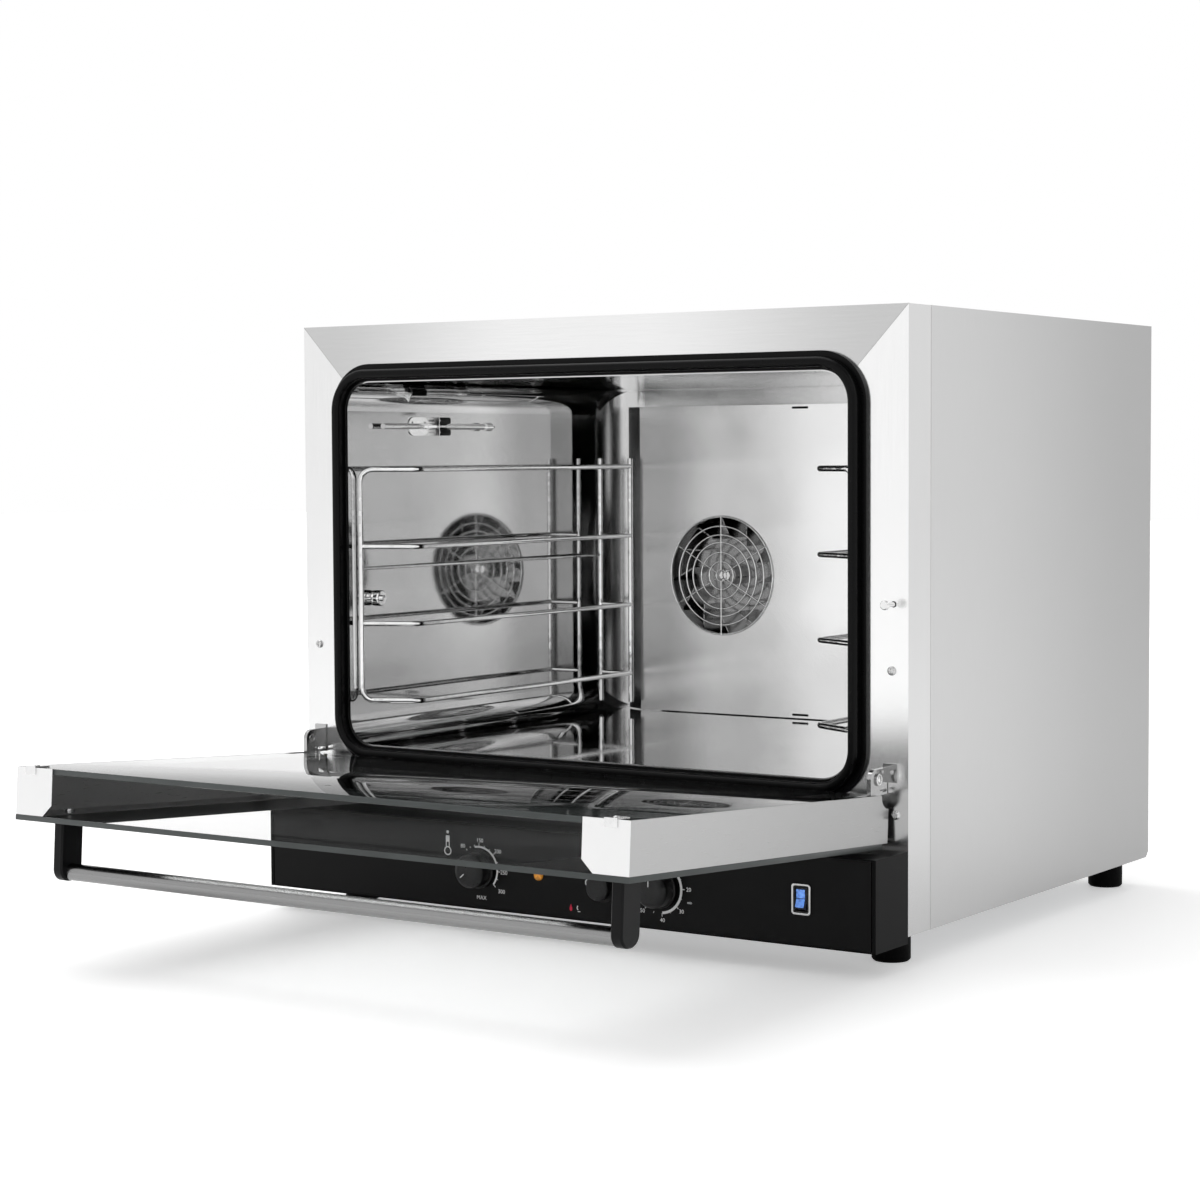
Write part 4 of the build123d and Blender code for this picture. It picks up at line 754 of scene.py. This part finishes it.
# Mains switch: bright frame and the lit faces of the rocker
def build_rocker():
    outer_size, outer_corner = (19.0, 27.4), 2.8
    opening_size, opening_corner = (15.2, 23.6), 1.6
    frame_thickness, frame_bevel = 2.3, 0.45
    level = facing((0.001 * rocker_place[0], panel_y, 0.001 * rocker_place[1]), (1, 0, 0), (0, 0, 1))
    outlines = [rounded((0, 0), outer_size, outer_corner), rounded((0, 0), opening_size, opening_corner)]
    bezel = plate(outlines, frame_thickness, frame_bevel, level)
    piece("rocker_bezel", [bezel], "cabinet", "bright_wire", screw_steel)

    # The rocker's two faces fall towards its middle, and it leans by half of its travel
    lean = math.radians(8.0)
    pin_ahead = 0.057
    middle_rise, end_rise, half_length = 3.0, 4.8, 9.2
    lens_left, lens_along = 1.0, 4.15
    lens_size, lens_corner = (8.4, 7.7), 0.5
    lens_thickness, lens_bevel = 0.35, 0.12
    pin = Vector((0.001 * rocker_place[0], fascia_y - pin_ahead, 0.001 * rocker_place[1]))
    out = Vector((0, -math.cos(lean), math.sin(lean)))
    up = Vector((0, math.sin(lean), math.cos(lean)))
    slope = math.atan2(end_rise - middle_rise, half_length)
    lenses = []
    for side in (1, -1):
        along = up * (side * math.cos(slope)) + out * math.sin(slope)
        face = facing(pin + out * (0.001 * middle_rise), (side, 0, 0), along)
        outline = rounded((-lens_left * side, lens_along), lens_size, lens_corner)
        lenses.append(plate([outline], lens_thickness, lens_bevel, face))
    piece("rocker_lenses", lenses, "mains_rocker", "blue_lens", blue_light)


# Screws with cross recesses, which stand for the plain ones
def recessed_head(radius, height, shank, length):
    """Pan head with a cross recess, and its shank below."""
    steps = 7
    crown, wall = 0.5, 0.25
    arm, width = 0.62 * radius, 0.13 * radius
    recess_floor = 0.35 * height
    profile = [(0, height)]
    for i in range(steps + 1):
        angle = math.pi / 2 * i / steps
        across = radius * (crown + (1 - crown) * math.sin(angle))
        profile.append((across, height * (wall + (1 - wall) * math.cos(angle))))
    profile += [(radius, 0), (shank, 0), (shank, -length), (0, -length)]
    head = bpy.data.objects.new("head", lathe(profile, Matrix.Identity(4)))
    cross = []
    for quarter in range(4):
        turn = Matrix.Rotation(math.pi / 2 * quarter, 2)
        cross += [tuple(turn @ Vector(p)) for p in ((width, width), (width, arm), (-width, arm))]
    cutter = bpy.data.objects.new("cutter", plate([cross], height, 0, Matrix.Identity(4), recess_floor))
    for made in (head, cutter):
        scene.collection.objects.link(made)
    cut = head.modifiers.new("cut", "BOOLEAN")
    cut.operation = "DIFFERENCE"
    cut.object = cutter
    graph = bpy.context.evaluated_depsgraph_get()
    mesh = bpy.data.meshes.new_from_object(head.evaluated_get(graph))
    for made in (head, cutter):
        leftover = made.data
        bpy.data.objects.remove(made)
        bpy.data.meshes.remove(leftover)
    mesh.materials.clear()
    return mesh


def placed(mesh, matrix):
    copy = mesh.copy()
    copy.transform(matrix)
    return copy


def build_screws():
    frame_screw = recessed_head(radius=4.0, height=2.4, shank=2.0, length=8.0)
    rear_screw = recessed_head(radius=3.2, height=1.9, shank=1.6, length=8.0)
    short_screw = recessed_head(radius=4.0, height=2.2, shank=2.0, length=2.4)
    stile_places = ((16.0, mouth_bottom + 98.0), (12.0, pivot_height - 11.5))
    rear_inset, rear_heights = 9.0, (90.0, 305.0, 540.0)
    baffle_depth, baffle_heights = 476.6, (mouth_bottom + 7.0, mouth_top - 25.5)
    parts = []
    for side in (-1, 1):
        for inset, height in stile_places:
            parts.append(placed(frame_screw, front_level(0) @ at(side * (half_width - inset), height)))
        for height in rear_heights:
            rear_place = at(side * (half_width - rear_inset), height)
            parts.append(placed(rear_screw, rear_level(cabinet_depth) @ rear_place))
    for height in baffle_heights:
        parts.append(placed(short_screw, front_level(baffle_depth) @ at(0, height)))

    # Nuts of the feet, on the base pan
    nut_z = 0.0312
    nut_radius, nut_bore, nut_thickness, nut_bevel = 6.5, 3.93, 5.0, 0.35
    foot_x, foot_depths = 303.0, (39.0, 515.0)
    nut_level = facing((0, fascia_y, nut_z), (1, 0, 0), (0, 1, 0))
    for side in (-1, 1):
        for depth in foot_depths:
            place = (side * foot_x, depth)
            outlines = [circle(place, nut_radius, 6), circle(place, nut_bore)]
            parts.append(plate(outlines, nut_thickness, nut_bevel, nut_level))
    for mesh in (frame_screw, rear_screw, short_screw):
        bpy.data.meshes.remove(mesh)
    screws = piece("recessed_screws", parts, "cabinet", "bright_wire", screw_steel)
    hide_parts("cabinet_screws")


# Rings and rivets of the hinges, and the screws of the pane clips
def dome(radius, height, matrix):
    steps = 5
    angles = [math.pi / 2 * i / steps for i in range(steps)]
    profile = [(radius * math.sin(angle), height * math.cos(angle)) for angle in angles]
    return lathe([*profile, (radius, 0), (0, 0)], matrix, 20)


def build_hinge_details():
    outer_x, inner_x = 320.0, 316.0
    boss_ahead, boss_rise, boss_out = 18.0, 21.0, 1.4
    hole_ahead, hole_rise = 23.0, 22.0
    rivet_radius, rivet_height = 1.2, 0.28
    for side, hand in ((-1, "left"), (1, "right")):
        outside = side_level(outer_x) if side > 0 else left_side_level(-outer_x)
        inside = left_side_level(inner_x) if side > 0 else side_level(-inner_x)
        boss = outside @ at(-boss_ahead * side, pivot_height + boss_rise, boss_out)
        parts = [
            ring_bead(4.4, 0.5, boss),
            dome(2.3, 0.5, boss),
            ring_bead(3.4, 0.28, inside @ at(hole_ahead * side, pivot_height + hole_rise)),
        ]
        for ahead in (17.5, 11.5):
            for rise in (7.0, 11.5):
                rivet_place = at(ahead * side, pivot_height + rise)
                parts.append(dome(rivet_radius, rivet_height, inside @ rivet_place))
        piece(f"hinge_rivets_{hand}", parts, "cabinet", "bright_wire", bright_steel)

    clip_x, clip_level = 306.0, 8.6
    clip_along = door_reach - 7.0
    clips = [dome(2.6, 1.3, door_level(clip_level) @ at(side * clip_x, -clip_along)) for side in (-1, 1)]
    piece("clip_screws", clips, "door", "bright_wire", screw_steel)


# Clip that holds the thermostat bulb, and its two screws
def build_bulb_clip():
    wall_x = -282.9
    level = side_level(wall_x)
    height = mouth_top - 42.5
    middle, spacing = 136.0, 6.0
    half_size, corner = (28.0, 6.8), 2.4
    low, thickness, bevel = 1.0, 12.0, 0.6
    halves = [
        plate([rounded((middle, height + side * spacing), half_size, corner)], thickness, bevel, level, low)
        for side in (-1, 1)
    ]
    piece("bulb_clip", halves, "cabinet", "black_plastic", black_plastic)
    screw_depth = 131.0
    heads = [
        dome(1.3, 0.9, level @ at(screw_depth, height + side * spacing, low + thickness)) for side in (-1, 1)
    ]
    piece("bulb_clip_screws", heads, "cabinet", "bright_wire", bright_steel)


# Dark plates at the upper and lower rim of the fan baffle, painted shade for the slots where its tabs are
# folded back
def build_baffle_marks():
    baffle_depth = 435.0
    slot_x, slot_size, slot_corner = -16.0, (20.0, 2.4), 0.9
    slot_thickness, slot_bevel = 0.35, 0.1
    level = front_level(baffle_depth)
    rims = (mouth_bottom + 4.5, mouth_top - 23.0)
    slots = [
        plate([rounded((slot_x, height), slot_size, slot_corner)], slot_thickness, slot_bevel, level)
        for height in rims
    ]
    piece("baffle_slots", slots, "cabinet", "polished_liner", painted_slot_shade)


# World, floor and lamps
def seen_rays(tree, mirrored=1.0):
    """1 for rays that show a background, straight or through glass, and a share of it when mirrored."""
    rays = node(tree, "ShaderNodeLightPath")
    glossy = figure(tree, "MULTIPLY", rays.outputs["Is Glossy Ray"], mirrored)
    direct = figure(tree, "MAXIMUM", rays.outputs["Is Camera Ray"], glossy)
    every = figure(tree, "MAXIMUM", direct, rays.outputs["Is Transmission Ray"])
    return rays, every


def build_world():
    white = (1, 1, 1)
    room_light = 0.6
    greyer_way = (0.25, -0.95, 0.1)
    world = bpy.data.worlds.new("studio")
    scene.world = world
    world.use_nodes = True
    tree = world.node_tree
    lit = tree.nodes["Background"]
    lit.inputs["Color"].default_value = (*white, 1)
    lit.inputs["Strength"].default_value = room_light
    seen = node(tree, "ShaderNodeBackground")
    seen.inputs["Strength"].default_value = 1.0
    rays, every = seen_rays(tree)

    # What steel and glass mirror: white all round, greyer in front and overhead
    coordinates = node(tree, "ShaderNodeTexCoord")
    front = node(tree, "ShaderNodeVectorMath", operation="DOT_PRODUCT")
    front.inputs[1].default_value = greyer_way
    tree.links.new(coordinates.outputs["Generated"], front.inputs[0])
    room = tint(tree, front.outputs["Value"], white, grey(0.7), start=0.72, end=0.98)
    height = node(tree, "ShaderNodeSeparateXYZ")
    tree.links.new(coordinates.outputs["Generated"], height.inputs["Vector"])
    ceiling = tint(tree, height.outputs["Z"], white, grey(0.3), start=0.62, end=0.82)
    mirrored = node(tree, "ShaderNodeMix", data_type="RGBA")
    mirrored.inputs["A"].default_value = (*white, 1)
    bent = figure(tree, "MAXIMUM", rays.outputs["Is Glossy Ray"], rays.outputs["Is Transmission Ray"])
    tree.links.new(bent, mirrored.inputs["Factor"])
    tree.links.new(product(tree, room, ceiling), mirrored.inputs["B"])
    tree.links.new(mirrored.outputs["Result"], seen.inputs["Color"])
    tree.links.new(blended(tree, every, lit, seen), tree.nodes["World Output"].inputs["Surface"])


def build_floor():
    size = 14.0
    mirrored_share = 0.5
    mesh = bpy.data.meshes.new("floor")
    corners = [(-size, -size, 0), (size, -size, 0), (size, size, 0), (-size, size, 0)]
    mesh.from_pydata(corners, [], [(0, 1, 2, 3)])
    floor = bpy.data.objects.new("floor", mesh)
    scene.collection.objects.link(floor)
    material, tree, shader = new_material("floor", grey(0.93), metallic=0.0, roughness=0.6, specular=0.2)

    # Glow that whitens the floor away from the oven, and leaves the shadow under it
    coordinates = node(tree, "ShaderNodeTexCoord")
    distance = node(tree, "ShaderNodeVectorMath", operation="LENGTH")
    tree.links.new(coordinates.outputs["Object"], distance.inputs[0])
    glow = node(tree, "ShaderNodeEmission")
    brightness = spread(
        tree, distance.outputs["Value"], low=0.38, high=0.8, start=0.6, end=2.6, smooth=True
    )
    tree.links.new(brightness, glow.inputs["Strength"])
    none = node(tree, "ShaderNodeEmission")
    none.inputs["Strength"].default_value = 0.0
    every = seen_rays(tree, mirrored_share)[1]
    total = node(tree, "ShaderNodeAddShader")
    tree.links.new(shader.outputs[0], total.inputs[0])
    tree.links.new(blended(tree, every, none, glow), total.inputs[1])
    tree.links.new(total.outputs[0], tree.nodes["Material Output"].inputs["Surface"])
    mesh.materials.append(material)


def build_lamp(name, place, size, power):
    """Soft square lamp that shines on the oven's middle."""
    aim = Vector((0, 0, 0.3))
    data = bpy.data.lights.new(name, "AREA")
    data.shape = "SQUARE"
    data.size = size
    data.energy = power
    lamp = bpy.data.objects.new(name, data)
    lamp.location = place
    lamp.rotation_euler = (aim - Vector(place)).to_track_quat("-Z", "Y").to_euler()
    scene.collection.objects.link(lamp)


build_panes()
build_thermostat_dial()
build_timer_dial()
build_signs()
build_pointers()
build_rocker()
build_screws()
build_hinge_details()
build_bulb_clip()
build_baffle_marks()
build_world()
build_floor()
build_lamp("key", place=(-1.3, -0.1, 3.6), size=3.0, power=60.0)
build_lamp("fill", place=(1.6, -3.0, 2.4), size=2.0, power=8.0)
